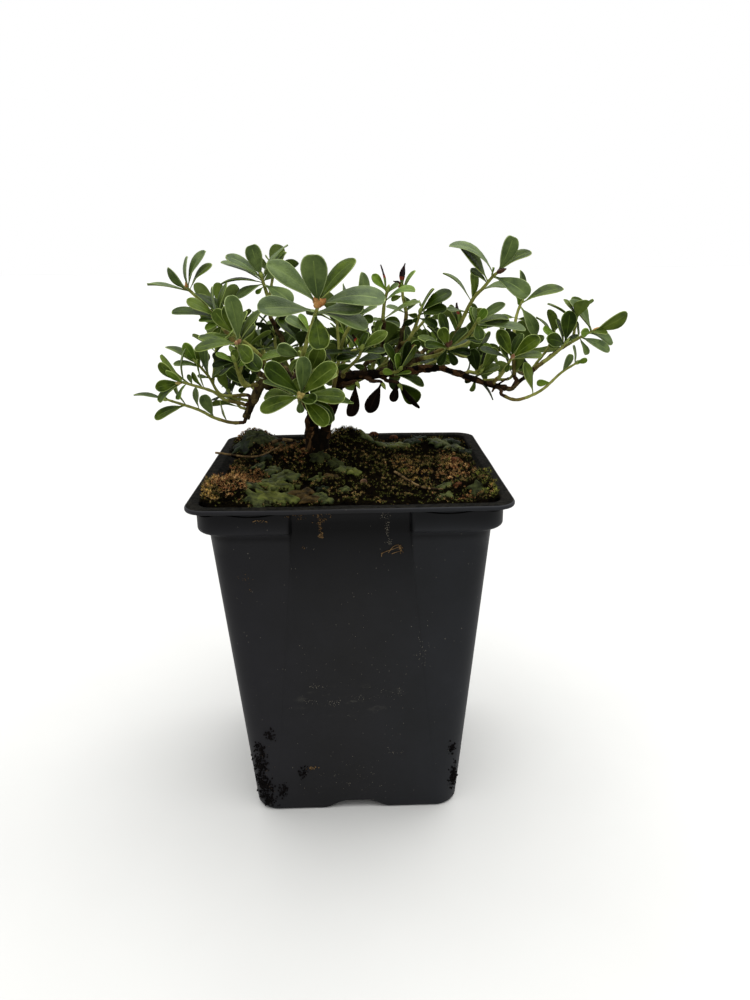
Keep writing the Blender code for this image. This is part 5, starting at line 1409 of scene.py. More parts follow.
def leaflet(pile, foot, way, wide, finish):
    """One moss leaflet: a thin closed spike along way."""
    side = way.cross(UP).normalized() * wide
    base = [foot - side, foot + side, foot + UP * wide]
    pile.add(base + [foot + way], ((1, 0, 3), (2, 1, 3), (0, 2, 3), (0, 1, 2)), finish)


def from_clump(x, y):
    """Distance from the middle of the nearest round clump of moss, in clump widths."""
    return noise.voronoi(Vector((x, y, 0)) / MOSS_CLUMP)[0][0]


def cushion(x, y):
    """Height of the moss's own round clumps over the peat, climbing the walls of the tub."""
    near = from_clump(x, y)
    dome = MOSS_DOME * max(0.0, 1 - 1.5 * near * near) * (0.8 + 0.7 * noise.noise(Vector((x, y, 3)) * 0.08))
    if y > 26:
        return dome * 0.4
    edge = MOSS_EDGE_LIFT * ease((max(abs(x), abs(y)) - 44) / 7)
    return dome + edge + MOSS_RIGHT_LIFT * ease((x - 36) / 12)


def under_lobe(x, y):
    """True where a liverwort lobe covers the ground."""
    return any(on_lobe(x, y, number) for number in range(len(LIVERWORT)))


def moss_tone(x, y, chance):
    """Colour and height of the moss at this place: the strongest cushion there, or the dark carpet, darker
    with painted shade in the gaps between clumps.
    """
    patch = noise.noise(Vector((x, y, 5)) * 0.2) + 0.5 * noise.noise(Vector((x, y, 9)) * 0.5)
    best, cushion_tone, tall = 0.0, "dark", 1.5
    for moss_x, moss_y, reach, colour, height in MOSS:
        near = 1 - hypot(x - moss_x, y - moss_y) / reach + 0.5 * patch
        if near > best and near + chance * 0.3 > 0.3:
            best, cushion_tone, tall = near, colour, height
    drift = 0.5 + 0.75 * noise.noise(Vector((x, y, 13)) * MOSS_PATCH) + 0.5 * (chance - 0.5)
    drift = min(max(drift, 0.0), 1.0)
    tone = next(tone for limit, tone in MOSS_MIXES[cushion_tone] if drift <= limit)
    # Painted shade: in gloomy patches and near the gaps between clumps a shoot takes the darker tone under
    # its own, in the widest gaps the dark one.
    gloom = noise.noise(Vector((x, y, 21)) * 0.24) + 0.6 * noise.noise(Vector((x, y, 27)) * 0.6)
    if gloom + 0.5 * chance < 0.02 or from_clump(x, y) + 0.2 * chance > 0.68:
        tone = MOSS_UNDER[tone]
    if from_clump(x, y) + 0.2 * chance > 0.84:
        tone = "dark"
    return tone, tall


def make_moss(finishes):
    """Cushions of moss over the peat: star-like shoots, each with whorls of pointed leaflets."""
    rng = random.Random(11)
    tones = list(finishes)
    cushions, brown, carpet_and_shade = Pile(), Pile(), Pile()
    piles = {"dark": carpet_and_shade, "brown": brown, "bronze": brown}
    steps = int(2 * COLLAR_HALF / MOSS_SPACING)
    for row in range(steps):
        for column in range(steps):
            x = -COLLAR_HALF + (column + rng.random()) * MOSS_SPACING
            y = -COLLAR_HALF + (row + rng.random()) * MOSS_SPACING
            chance = rng.random()
            if not inside_pot(x, y, 0.3) or hypot(x - TRUNK_X, y - TRUNK_Y) < 7.0:
                continue
            tone, tall = moss_tone(x, y, chance)
            if under_lobe(x, y):
                continue
            pile = piles.get(tone, cushions)
            foot = Vector((x, y, ground(x, y) + cushion(x, y) - 0.7))
            lean_x, lean_y = rng.uniform(-0.3, 0.3), rng.uniform(-0.3, 0.3)
            stem = Vector((lean_x, lean_y, 1)) * (tall * rng.uniform(0.45, 1.15))
            start = rng.uniform(0, 2 * pi)
            big = (0.6 + 0.24 * tall) * rng.uniform(0.85, 1.15)
            for level, (share, count, rise, reach) in enumerate(MOSS_WHORLS):
                for k in range(count):
                    turn = start + (k + 0.5 * level + rng.uniform(-0.2, 0.2)) * 2 * pi / count
                    way = Vector((cos(turn), sin(turn), rise + rng.uniform(-0.2, 0.3)))
                    way *= reach * rng.uniform(0.8, 1.15) * big
                    # Painted shade: the lower leaflets and the unlit ones take darker tones, the lit tip
                    # leaflets the shoot's own.
                    lit = rng.random() < MOSS_LIT[level]
                    shades = (("dark", "dark"), ("dark", MOSS_UNDER[tone]), (MOSS_UNDER[tone], tone))
                    shade = tones.index(shades[level][lit])
                    leaflet(pile, foot + stem * share, way, MOSS_LEAFLET * big, shade)
    materials = list(finishes.values())
    cushions.piece("moss_cushions", materials, "mossy_soil", smooth=False)
    brown.piece("brown_moss", materials, "mossy_soil", smooth=False)
    carpet_and_shade.piece("moss_carpet_and_shade", materials, "mossy_soil", smooth=False)


def lobe_out(number, angle):
    """Share of a thallus's reach at this angle from its heading: round lobes, sharp bays between."""
    lobes, phase = LIVERWORT[number][4], 1.7 * number
    lobed = 0.5 + 0.5 * abs(cos(lobes * angle / 2 + phase)) ** 0.6
    second = 0.08 * abs(sin((2 * lobes + 1) * angle / 2 + phase))
    ragged = 0.26 * noise.noise(Vector((cos(angle) * 1.7, sin(angle) * 1.7, phase)))
    return lobed - second + ragged


def on_lobe(x, y, number):
    """True on the numbered lobe, a little in from its edge."""
    lobe_x, lobe_y, reach, heading = LIVERWORT[number][:4]
    away = hypot(x - lobe_x, y - lobe_y)
    if away > reach:
        return False
    angle = atan2(y - lobe_y, x - lobe_x) - radians(heading)
    return away < reach * lobe_out(number, angle) * 0.92


def thallus(number):
    """One liverwort thallus draped over the ground, its bays cut in from the edge."""
    x, y, reach, heading, lobes, lift, _ = LIVERWORT[number]
    turns, rounds, phase = 72, 8, 1.7 * number
    spin = Matrix.Rotation(radians(heading), 2)
    top = []
    for ring in range(rounds + 1):
        share = ring / rounds
        for k in range(turns):
            a = 2 * pi * k / turns
            out = reach * share * (1 - (1 - lobe_out(number, a)) * share)
            flat = spin @ Vector((out * cos(a), out * sin(a)))
            px, py = x + flat.x, y + flat.y
            groove = -0.4 * exp(-((out * sin(a) / (0.07 * reach)) ** 2)) * (1 - share)
            spot = Vector((px, py, phase))
            swell = sum(depth * noise.noise(spot * scale) for depth, scale in LOBE_SWELLS)
            fold = 0.45 * share**2 * sin(lobes * a + 2 * phase)
            drop = 1.0 * share**5
            top.append(Vector((px, py, bed(px, py) + lift + 0.5 + groove + swell + fold - drop)))
    under = [p - UP * 0.35 for p in top]
    base = len(top)
    faces, edge = [], []
    for ring in range(rounds):
        for k in range(turns):
            a, b = ring * turns + k, ring * turns + (k + 1) % turns
            faces += [(a, a + turns, b + turns, b), (base + b, base + b + turns, base + a + turns, base + a)]
            edge += [ring == rounds - 1, False]
    for k in range(turns):
        a, b = rounds * turns + k, rounds * turns + (k + 1) % turns
        faces.append((a, base + a, base + b, b))
        edge.append(True)
    return top + under, faces, edge


def make_liverwort(finishes):
    """Flat lobed thalli between the moss, with a few splash cups."""
    pile = Pile()
    tones = list(LOBE_COLOURS)
    for number, lobe in enumerate(LIVERWORT):
        points, faces, edge = thallus(number)
        pile.add(points, faces, [2 * tones.index(lobe[-1]) + rim for rim in edge])
    for x, y, size in CUPS:
        centre = Vector((x, y, bed(x, y) + 3.5))
        rings = []
        ways = [Vector((cos(a), sin(a), 0)) for a in (2 * pi * k / 20 for k in range(20))]
        for inward, up in CUP_SECTION:
            rings.append([centre + way * size * inward + UP * up for way in ways])
        pile.add(*loft(rings), 0)
    return pile.piece("liverwort_lobes", finishes, "mossy_soil")


def even_path(path, radii, step):
    """The path and radii again at even steps, smoothed through the points."""
    fine = smooth_path(list(path), 8)
    spans = [0.0]
    for a, b in zip(fine, fine[1:]):
        spans.append(spans[-1] + (b - a).length)
    coarse = [0.0]
    for a, b in zip(path, path[1:]):
        coarse.append(coarse[-1] + (b - a).length)
    count = max(3, int(spans[-1] / step))
    out_path, out_radii, k = [], [], 0
    for n in range(count + 1):
        goal = spans[-1] * n / count
        while k < len(spans) - 2 and spans[k + 1] < goal:
            k += 1
        share = (goal - spans[k]) / max(spans[k + 1] - spans[k], 1e-9)
        out_path.append(fine[k].lerp(fine[k + 1], min(max(share, 0), 1)))
        out_radii.append(float(np.interp(goal / spans[-1] * coarse[-1], coarse, radii)))
    return out_path, out_radii


def bark_relief(seed, depth):
    """Stringy flaking bark: strips long along the limb, lifted at one end, and fibres on them."""
    offset = Vector((seed * 17.3, seed * 5.1, seed * 9.7))

    def relief(angle, along, radius):
        round_way = Vector((cos(angle), sin(angle), 0)) * radius
        spot = Vector((round_way.x, round_way.y, along * 0.3)) / BARK_PLATE + offset
        distances, centres = noise.voronoi(spot)
        crack = min((distances[1] - distances[0]) * 2.2, 1.0)
        lifted = (spot.z - centres[0].z) * 0.6
        level = noise.cell(centres[0] * 7.1)
        fibre = abs(noise.noise(spot * 2.3)) * 0.6
        return depth * (crack * (0.45 + 0.45 * level + lifted) - 0.5 + fibre)

    return relief


def bark_limb(pile, path, radii, seed, depth, sides, step=BARK_STEP, gnarled=False):
    """Adds a limb with the bark's relief; a gnarled one also wanders and has knots."""
    path, radii = even_path(path, radii, step)
    if gnarled:
        last = len(path) - 1
        for k, spot in enumerate(path):
            calm = ease(min(k, last - k) * step / 4)
            offsets = (Vector((seed * 7.7, 40 * axis, 0)) for axis in range(3))
            sway = Vector([noise.noise(spot * 0.22 + offset) for offset in offsets])
            path[k] = spot + sway * BOUGH_SWAY * calm
            radii[k] *= 1 + KNOT_SWELL * noise.noise(spot * 0.35 + Vector((0, seed * 3.1, 0)))
    pile.add(*tube(path, radii, sides, bark_relief(seed, depth)))


def spur(pile, points, radius, seed, depth, sides, step=BARK_STEP):
    """A short dead twig that tapers by about a third."""
    last = len(points) - 1
    radii = [radius * (1 - SPUR_TAPER * k / last) for k in range(last + 1)]
    bark_limb(pile, [Vector(p) for p in points], radii, seed, depth, sides, step)


def bark_trunk(pile):
    """The trunk with its bark, from below the soil to inside the stems; returns each face's finish."""
    relief = bark_relief(3, 0.5)
    heights, *columns = zip(*TRUNK_RINGS)
    rings = []
    for level in range(TRUNK_LEVELS + 1):
        rise = -TRUNK_SINK + (heights[-1] + TRUNK_SINK + 0.6) * level / TRUNK_LEVELS
        x, half_width, half_depth = (float(np.interp(rise, heights, column)) for column in columns)
        shrink = 1.0 - 0.25 * ease((rise - heights[-1] + 0.4) / 1.0)
        scale = shrink * (1 + 0.12 * ease(-rise / TRUNK_SINK))
        half_width, half_depth = half_width * scale, half_depth * scale
        bark = partial(relief, along=rise + 20, radius=4.0)
        rings.append(trunk_ring(TRUNK_TURNS, rise, x, half_width, half_depth, bark))
    pile.add(*loft(rings))
    finishes = []
    # The left flank is lighter and red brown: partly the bark's own colour, partly painted light where the
    # trunk is lit.
    for face in pile.faces:
        turn = (face[0] % TRUNK_TURNS) / TRUNK_TURNS
        ragged = 0.06 * noise.noise(pile.points[face[0]] * 0.9)
        finishes.append(3 if RED_FLANK[0] < turn + ragged < RED_FLANK[1] else 2)
    return finishes


def grow_bark(limbs, finishes):
    """One relief mesh for the trunk and the boughs, each started inside the limb that carries it."""
    pile = Pile()
    shades = bark_trunk(pile)
    for number, (name, parent, share, *_) in enumerate(BOUGHS):
        limb = limbs[name]
        start, ahead = limb.path[0], (limb.path[1] - limb.path[0]).normalized()
        sink = 3.2 if parent == "trunk" else min(1.6, limb.radii[0] * 1.1)
        flare = 1.0 if share == 1 else 1.12
        radii = [limb.radii[0] * flare] + limb.radii
        radii[1] *= 1 + (flare - 1) * 0.6
        depth = 0.12 + 0.13 * limb.radii[0]
        sides = 26 if limb.radii[0] > 2 else 18
        bark_limb(pile, [start - ahead * sink] + limb.path, radii, number, depth, sides, gnarled=True)
        thin = name in THIN_BARK or (limb.radii[0] < YOUNG_BARK and name not in OLD_BARK)
        shades += [int(thin)] * (len(pile.faces) - len(shades))
    for k, (points, radius) in enumerate(SPURS):
        spur(pile, points, radius, 40 + k, 0.2, 12)
    pile.finishes = shades + [0] * (len(pile.faces) - len(shades))
    names = ["trunk"] + [entry[0] for entry in BOUGHS]
    return pile.piece("bark_limbs", finishes, "bark", names)


def leaf_half(share, length):
    """Half-width of a blade: a slim stalk, a wedge base, widest past the middle, a round end."""
    stalk = LEAF_STALK_HALF * length
    if share <= LEAF_STALK:
        return stalk
    inner = (share - LEAF_STALK) / (1 - LEAF_STALK)
    blade = LEAF_BLADE_HALF * length * sin(pi * inner**LEAF_SKEW) ** LEAF_ROUND
    return max(stalk * (1 - inner * 3), blade, LEAF_TIP_HALF * length)


def fine_leaf(root, chord, upper, length, curl, rng, notch=0.0, scorch=0.0):
    """A leathery blade, closed, with a sunk midrib, a pale edge, a slight twist and wave.

    Finishes: 0 upper side, 1 edge, 2 underside, 3 midrib, 4 scorched tip, 5 its red border.
    """
    bend = radians(curl)
    ahead = chord * cos(bend / 2) + upper * sin(bend / 2)
    above = upper * cos(bend / 2) - chord * sin(bend / 2)
    side = chord.cross(upper)
    twist = radians(rng.uniform(-9, 9))
    phase, wave = rng.uniform(0, 6.28), rng.uniform(0.05, 0.34)
    dish = LEAF_DISH * rng.uniform(0.4, 1.8)
    cross_bow = rng.uniform(-0.02, 0.05)
    width = rng.uniform(0.93, 1.06)
    margin = LEAF_MARGIN * min(1.0, length / 9)
    tip_rows = (k * margin / length for k in LEAF_TIP_ROWS)
    shares = LEAF_ROWS + tuple(1 - row for row in tip_rows if row < 0.075)
    rings = []
    for share in shares:
        turn = bend * share
        half = leaf_half(share, length) * width
        if scorch:
            half *= 1 - 0.8 * ease((share - 0.5) / 0.5)
        rim = 1 - min(margin / half, 0.3)
        tip_pull = notch * length * ease((share - 0.75) / 0.25)
        run = ahead * sin(turn) - above * (1 - cos(turn))
        place = root + run * (length / bend)
        forward = ahead * cos(turn) - above * sin(turn)
        top = above * cos(turn) + ahead * sin(turn)
        lean = twist * share
        out = side * cos(lean) + top * sin(lean)
        high = top * cos(lean) - side * sin(lean)
        blade = ease((share - LEAF_STALK * 0.5) / 0.2)
        upper_row, lower_row = [], []
        for column in LEAF_COLUMNS:
            near = abs(column)
            if near == 0.9:
                column = copysign(rim, column)
                near = rim
            lift = dish * half * near**1.25 - cross_bow * half * near * near
            lift -= LEAF_ROLL * blade * ease((near - 0.8) / 0.2)
            lift += wave * blade * near * sin(7 * share + phase + column)
            lift += LEAF_QUILT * blade * near * (1 - near) * sin(23 * share + 5 * near + phase)
            lift -= LEAF_VEIN_SINK * blade * (1 if near < 0.1 else 0)
            pull = tip_pull * exp(-((half * near / (NOTCH_HALF * length)) ** 2))
            spot = place + out * (half * column) + high * lift - forward * pull
            thick = LEAF_THICK * (0.55 + 0.45 * blade) * (1.25 if near < 0.1 else 1.0)
            upper_row.append(spot)
            if near < 1:
                lower_row.append(spot - high * (thick if near < 0.6 else thick * 0.75))
            else:
                upper_row[-1] = spot - high * thick * 0.3
        rings.append(upper_row + lower_row[::-1])
    points, faces = loft([ring[::-1] for ring in rings])
    columns, count = len(LEAF_COLUMNS), len(rings[0])
    shades = []
    for row in range(len(rings) - 1):
        scorched = scorch and shares[row + 1] > 1 - scorch
        reddened = scorch and not scorched and shares[row + 1] > 0.9 - scorch
        pale_row = shares[row + 1] <= LEAF_STALK or shares[row] >= 1 - 1.01 * margin / length
        for k in range(count):
            # Strips run backwards round the ring: undersides first, then the upper side.
            strip = count - 2 - k
            if scorched or reddened:
                shades.append(4 if scorched else 5)
            elif not 0 <= strip < columns - 1:
                shades.append(2)
            elif pale_row or strip in (0, columns - 2):
                shades.append(1)
            elif strip == (columns - 2) // 2 and shares[row] < 0.85:
                shades.append(3)
            else:
                shades.append(0)
    shades += [1, 4 if scorch else 1]
    return points, faces, shades


def bud_shape(centre, axis, length, width, turn=0.0):
    """A pointed bud: a closed teardrop with three low ridges, as of folded scales."""
    across = (Matrix.Rotation(turn, 3, axis) @ axis.orthogonal()).normalized()
    other = axis.cross(across)
    rings = []
    for share, half in BUD_SECTION:
        ring = []
        for k in range(12):
            a = 2 * pi * k / 12
            out = width * half * (1 + 0.14 * cos(3 * a + share * 2))
            ring.append(centre + axis * (length * share) + (across * cos(a) + other * sin(a)) * out)
        rings.append(ring)
    return loft(rings)


class Foliage:
    """Grows every shoot by the source's rule and gathers its fine leaves, twigs and buds by kind."""

    def __init__(self, space):
        self.space = space
        self.leaves = {tone: Pile() for tone in LEAF_FINISHES}
        self.twigs, self.buds = Pile(), Pile()
        self.own = random.Random(5)
        self.set_tones = {(shoot, *place): tone for shoot, tone, places in LEAF_TONES for place in places}

    def tone(self, key, owner, size, low):
        """The set tone of a leaf, or one drawn from its shoot's mix of painted light and shade: small leaves
        are fresh more often.
        """
        chance = self.own.random()
        mix = "light" if owner in LIGHT_SHOOTS else "middle" if owner in MIDDLE_SHOOTS else "dark"
        if key in self.set_tones:
            return self.set_tones[key]
        if size < 0.6 and chance < FRESH_SHARES[mix]:
            return "fresh"
        if low and chance > 0.98:
            return "brown"
        return next(tone for limit, tone in LEAF_MIXES[mix] if chance <= limit)

    def add_twig(self, path, radii, young, dead=False):
        """A twig with its knots, green where it is young and brown all along where it is dead."""
        path, radii = even_path(path, radii, 0.7)
        seed = Vector((self.own.uniform(0, 99), 0, 0))

        def knobs(angle, along, radius):
            ring = cos(along * 2 * pi / TWIG_NODE_STEP)
            fuzz = noise.noise(Vector((cos(angle), sin(angle), along * 0.6)) * 1.6 + seed)
            return radius * (0.1 * max(ring, 0) ** 3 + 0.13 * fuzz)

        tones = []
        for ring in range(len(path) - 1):
            share = 1.0 if young else ring / (len(path) - 1)
            tones += [0 if share < TWIG_BROWN or dead else 1 if share < TWIG_GREEN else 2] * TWIG_SIDES
        ends = [2 if young else 0, 0 if dead else 2]
        self.twigs.add(*tube(path, radii, TWIG_SIDES, knobs), tones + ends)

    def place_leaf(self, owner, key, root, axis, leaf):
        """Grows one leaf at the first clear direction near the one asked for.

        A leaf is its heading, lean, length as a share of LEAF, face and sometimes its curl.
        """
        heading, lean, size, face, curl = (*leaf, LEAF_CURL)[:5]
        length = LEAF * size
        for turn, tip in NUDGES:
            chord = direction(heading + turn, lean + tip)
            end = root + chord * length
            if any(not low <= value <= high for low, value, high in zip(CROWN_LOW, end, CROWN_HIGH)):
                continue
            blade = (root, chord, leaf_upper(chord, axis, face), length, curl)
            wide = [leaf_shape(*blade, CLEAR, outer) for outer in (False, True)]
            if self.space.clear(owner, *wide):
                self.space.take(owner, leaf_shape(*blade), leaf_shape(*blade, 0.0, True))
                tone = self.tone(key, owner, size, root.z < LOW_LEAF)
                notch = LEAF_NOTCH if key in NOTCHED else SHALLOW_NOTCH * self.own.choice((0, 0, 0.6, 1))
                scorch = self.own.choice((0.24, 0.34, 0.42)) if tone == "scorched" else 0.0
                self.leaves[tone].add(*fine_leaf(*blade, self.own, notch, scorch))
                return

    def whorl(self, owner, rng, centre, axis, count, spread):
        """Leaves set round a shoot's tip by the golden angle, the inner ones short and upright."""
        across = axis.orthogonal().normalized()
        start = rng.uniform(0, 2 * pi)
        for k in range(count):
            spin = Matrix.Rotation(start + k * GOLDEN, 3, axis)
            tilt = radians(WHORL_TILT + spread * (k + 1) / count)
            way = axis * cos(tilt) + (spin @ across) * sin(tilt)
            way = (way + UP * 0.12).normalized()
            size = (INNER_LEAF + (1 - INNER_LEAF) * min(1, (k + 1) / 3)) * rng.uniform(0.82, 1.05)
            root = centre - axis * (LEAF_STEP * k)
            curl = LEAF_CURL + rng.uniform(-CURL_RANGE, CURL_RANGE)
            self.place_leaf(owner, None, root, axis, (*heading_lean(way), size, None, curl))

    def leafy_twig(self, owner, rng, path):
        """A short twig with its own whorl, or nothing where it would touch a neighbour."""
        twig = Limb(path, SIDE_TWIG_RADIUS, TWIG_TIP_RADIUS)
        outer = tube(path[1:], twig.radii[1:], 3)
        if not self.space.clear(owner, tube(path, [r + CLEAR for r in twig.radii], 3), outer):
            return
        self.space.take(owner, tube(path, twig.radii, 3), outer)
        self.add_twig(path, twig.radii, True)
        ahead = (path[-1] - path[-2]).normalized()
        self.buds.add(*bud_shape(path[-1] - ahead * 0.5, ahead, 3.0, 0.75), 0)
        self.whorl(owner, rng, path[-1] - ahead * LEAF_STEP, ahead, SIDE_WHORL, SIDE_SPREAD)

    def side_twig(self, owner, rng, main, share, turn):
        """A short seeded twig from the side of a shoot."""
        centre, ahead, _ = main.at(share)
        across = Matrix.Rotation(turn, 3, ahead) @ ahead.orthogonal().normalized()
        spread = radians(SIDE_TWIG_SPREAD + rng.uniform(-8, 8))
        way = (ahead * cos(spread) + across * sin(spread) + UP * 0.15).normalized()
        length = SIDE_TWIG_LENGTH * rng.uniform(0.8, 1.25)
        tip = centre + way * length * 0.95 + UP * length * 0.12
        path = bezier_path(centre, centre + way * length * 0.4, tip - way * length * 0.3, tip, 3)
        self.leafy_twig(owner, rng, path)

    def inner_twig(self, rng, bough, centre, tip):
        """A short twig inside the crown, from a bough to the given tip; its leaves take the dark mix as
        painted shade.
        """
        rise = (tip - centre).length
        path = bezier_path(centre, centre.lerp(tip, 0.4), tip - UP * rise * 0.3, tip, 3)
        self.leafy_twig(bough, rng, path)

    def tip_buds(self, name, tip, along):
        """The buds at a shoot's tip."""
        finish, count, length, width = BUD_SETS.get(name, PLAIN_BUD)
        for k in range(count):
            spin = Matrix.Rotation(GOLDEN * k, 3, along) @ along.orthogonal().normalized()
            lean = radians(BUD_SPREAD if count > 1 else 0)
            way = along * cos(lean) + spin * sin(lean)
            self.buds.add(*bud_shape(tip - along * 0.6, way, length, width, k), finish)

    def grow_shoot(self, entry, main, parent):
        """One leafy shoot: its twig, its set leaves, and the seeded twigs and leaves."""
        name, _, share, *_, side_twigs, seed, nodes = entry
        rng = random.Random(seed)
        start, first = main.path[0], main.path[1] - main.path[0]
        hidden = start - first.normalized() * TWIG_SINK
        if share < 1:
            # The twig comes out of the bough a little before its seat, on the side it turns away from.
            centre, ahead, radius = parent.at(share)
            back = -1 if (main.path[-1] - start).dot(ahead) > 0 else 1
            hidden = centre + ahead * back * (radius + TWIG_SINK)
        radii = [radius * (SLIM if name in SLIM_SHOOTS else 1.0) for radius in main.radii]
        self.add_twig([hidden] + main.path, radii[:1] + radii, False, name.startswith("hanging"))
        for number, (place, leaves) in enumerate(nodes):
            centre, along, _ = main.at(place)
            for k, leaf in enumerate(leaves):
                root = centre - along * (LEAF_STEP * (k + 1))
                self.place_leaf(name, (name, number, k), root, along, leaf)
            if not leaves:
                self.whorl(name, rng, centre - along * LEAF_STEP, along, TIP_WHORL, TIP_SPREAD)
                for k in range(STEM_LEAVES):
                    node, stem, _ = main.at(0.5 + 0.14 * k)
                    self.whorl(name, rng, node, stem, 1, STEM_SPREAD)
        self.tip_buds(name, *main.at(1.0)[:2])
        for k in range(side_twigs):
            place = 0.35 + 0.4 * (k + rng.uniform(0.2, 0.8)) / side_twigs
            self.side_twig(name, rng, main, place, rng.uniform(0, 1) + k * GOLDEN)


def grain(place, axis, reaches):
    """An angular grain round a place, with its reach each way along and across an axis."""
    other = axis.orthogonal().normalized()
    third = axis.cross(other)
    ways = (axis, -axis, other, -other, third, -third)
    return [place + way * reach for way, reach in zip(ways, reaches)], GRAIN_FACES


def wall_y(x, z):
    """Front of the tub's wall at this place, the corner's round included."""
    half, radius = (COLLAR_HALF, COLLAR_RADIUS) if z > COLLAR_FOOT else (wall_half(z), wall_radius(z))
    over = max(abs(x) - (half - radius), 0.0)
    if over >= radius:
        return None
    out = half - radius + sqrt(radius**2 - over**2)
    if abs(x) < panel_half(z) - PANEL_EDGE / 2:
        out = min(out, panel_plane(z))
    return -out


def scatter_crumbs(finishes):
    """Dirt on the outside of the tub: peat crumbs, pale dust, root ends and wet clods."""
    rng = random.Random(31)
    pile = Pile()
    tones = list(finishes)

    def crumb(spin, x, z, size, tone):
        """A small angular grain half sunk in the wall."""
        axis = Vector([rng.uniform(-1, 1) for _ in range(3)]).normalized()
        reaches = [size * rng.uniform(0.6, 1.2) for _ in range(6)]
        place = spin @ Vector((x, wall_y(x, z), z)) + spin @ FRONT * size * 0.3
        pile.add(*grain(place, axis, reaches), tones.index(tone))

    def spray(x, z, wide, tall, count, tone, low, high):
        """Grains strewn round a place on the front."""
        for _ in range(count):
            px, pz = rng.gauss(x, wide), max(CRUMB_LOWEST, rng.gauss(z, tall))
            if wall_y(px, pz) is not None:
                crumb(Matrix.Identity(3), px, pz, rng.uniform(low, high), tone)

    for x, z, wide, tall, count, tone, size in WALL_CRUMBS:
        spray(x, z, wide * 0.6, tall * 0.6, count, tone, size * 0.35, size)
    for x, z, wide, tall, count in CLODS:
        spray(x, z, wide * 0.55, tall * 0.55, count, "clod", 0.2, 0.6)
    for points in WALL_ROOTS:
        path = [Vector((x, wall_y(x, z) - 0.25, z)) for x, z in points]
        pile.add(*tube(*even_path(path, [0.12] * (len(path) - 1) + [0.06], 0.4), 7), 0)
    # A few grains on the other sides too, fewer and drier.
    for quarter in (1, 2, 3):
        spin = Matrix.Rotation(quarter * pi / 2, 3, "Z")
        for _ in range(70):
            z = rng.choice((rng.uniform(2, 40), rng.uniform(110, 128)))
            x = rng.uniform(-36, 36)
            if wall_y(x, z) is not None:
                crumb(spin, x, z, rng.uniform(0.1, 0.32), rng.choice(("crumb", "dust_and_shade")))
    return pile.piece("wall_crumbs", list(finishes.values()), "black_plastic", smooth=False)


def make_crumbs(rng, finishes):
    """Crumbs of peat and chips of bark strewn on the moss."""
    crumbs = Pile()
    for _ in range(1500):
        x, y = rng.uniform(-52, 52), rng.uniform(-52, 52)
        if not inside_pot(x, y, 0.6):
            continue
        size = rng.uniform(0.25, 0.9)
        place = Vector((x, y, ground(x, y) + rng.uniform(-0.1, 0.9)))
        axis = Vector((rng.uniform(-1, 1), rng.uniform(-1, 1), rng.uniform(-0.4, 0.6))).normalized()
        reaches = [size * rng.uniform(1, 2.2), size] + [size * rng.uniform(0.4, 0.8) for _ in range(4)]
        crumbs.add(*grain(place, axis, reaches), int(rng.random() >= 0.75))
    crumbs.piece("peat_crumbs", finishes, "mossy_soil", smooth=False)


def make_heads(rng, finishes):
    """The liverwort's stalked heads: a bent stalk with a star of drooping fingers."""
    heads = Pile()
    for x, y, tall, wide, fingers in HEADS:
        foot = Vector((x, y, ground(x, y) - 0.5))
        top = foot + Vector((rng.uniform(-1, 1), rng.uniform(-1, 1), tall + 0.5))
        path = [foot, foot.lerp(top, 0.5) + Vector((0.3, 0.2, 0)), top]
        heads.add(*tube(*even_path(path, [0.35, 0.3, 0.3], 0.5), 8), 0)
        start = rng.uniform(0, 6.28)
        for k in range(fingers):
            a = start + 2 * pi * k / fingers
            way = Vector((cos(a), sin(a), 0))
            path = [top + way * wide * out + UP * up for out, up in ((0.25, 0.3), (0.5, -0.7))]
            path.insert(0, top + UP * 0.25 - way * 0.1)
            heads.add(*tube(*even_path(path, [0.45, 0.4, 0.28], 0.35), 8), 1)
    heads.piece("liverwort_heads", finishes, "mossy_soil")


def make_shell(finish):
    """A small snail shell: a tube that widens along a flat spiral."""
    centre = Vector((*SHELL_PLACE, ground(*SHELL_PLACE) + 1.6))
    path, radii = [], []
    for k in range(SHELL_STEPS):
        a = k * SHELL_TURN
        grow = exp(SHELL_GROWTH * (a - (SHELL_STEPS - 1) * SHELL_TURN))
        back = 0.4 * sin(a) * grow - 0.5 * (1 - grow)
        path.append(centre + Vector((1.15 * cos(a) * grow, back, 1.1 * sin(a) * grow)))
        radii.append(0.62 * grow)
    shell = Pile()
    shell.add(*tube(path, radii, 12))
    shell.piece("snail_shell", [finish], "mossy_soil")


def dress_ground(peat):
    """The soil with its moss and liverwort, and what lies on them."""
    make_soil(peat)
    moss = {}
    for tone, colours in MOSS_COLOURS.items():
        gloss = 0.0 if tone == "dark" else 0.02
        moss[tone] = living_tissue(tone + "_moss", *colours, 0.85, gloss, 1.1111, 0.0)
    make_moss(moss)
    lobes = []
    for tone, kinds in LOBE_COLOURS.items():
        for part, bump, (*finish,) in zip(("_liverwort", "_liverwort_edge"), (0.8, 0.6), kinds):
            lobes.append(living_tissue(tone + part, *finish, bump))
    make_liverwort(lobes)
    rng = random.Random(41)
    make_crumbs(rng, [peat, damp_peat("bark_chip", "#2b2015", "#5a4630")])
    dry = Pile()
    for k, (points, radius) in enumerate(DRY_TWIGS):
        spur(dry, points, radius, 60 + k, 0.14, 10, 0.5)
    dry.piece("dry_twigs", [flaking_bark("dry_twig_wood", "#241b11", "#54442c", "#8a744e", 3.0)], "bark")
    stalk = living_tissue("brown_stalk", "#140b06", "#2a1a0e", 0.6, 0.03)
    make_heads(rng, [stalk, living_tissue("liverwort_head", "#2a150b", "#57341e", 0.6, 0.03, 2.0)])
    make_shell(living_tissue("weathered_shell", "#3a2818", "#6a5038", 0.4, 0.12, 2.0))


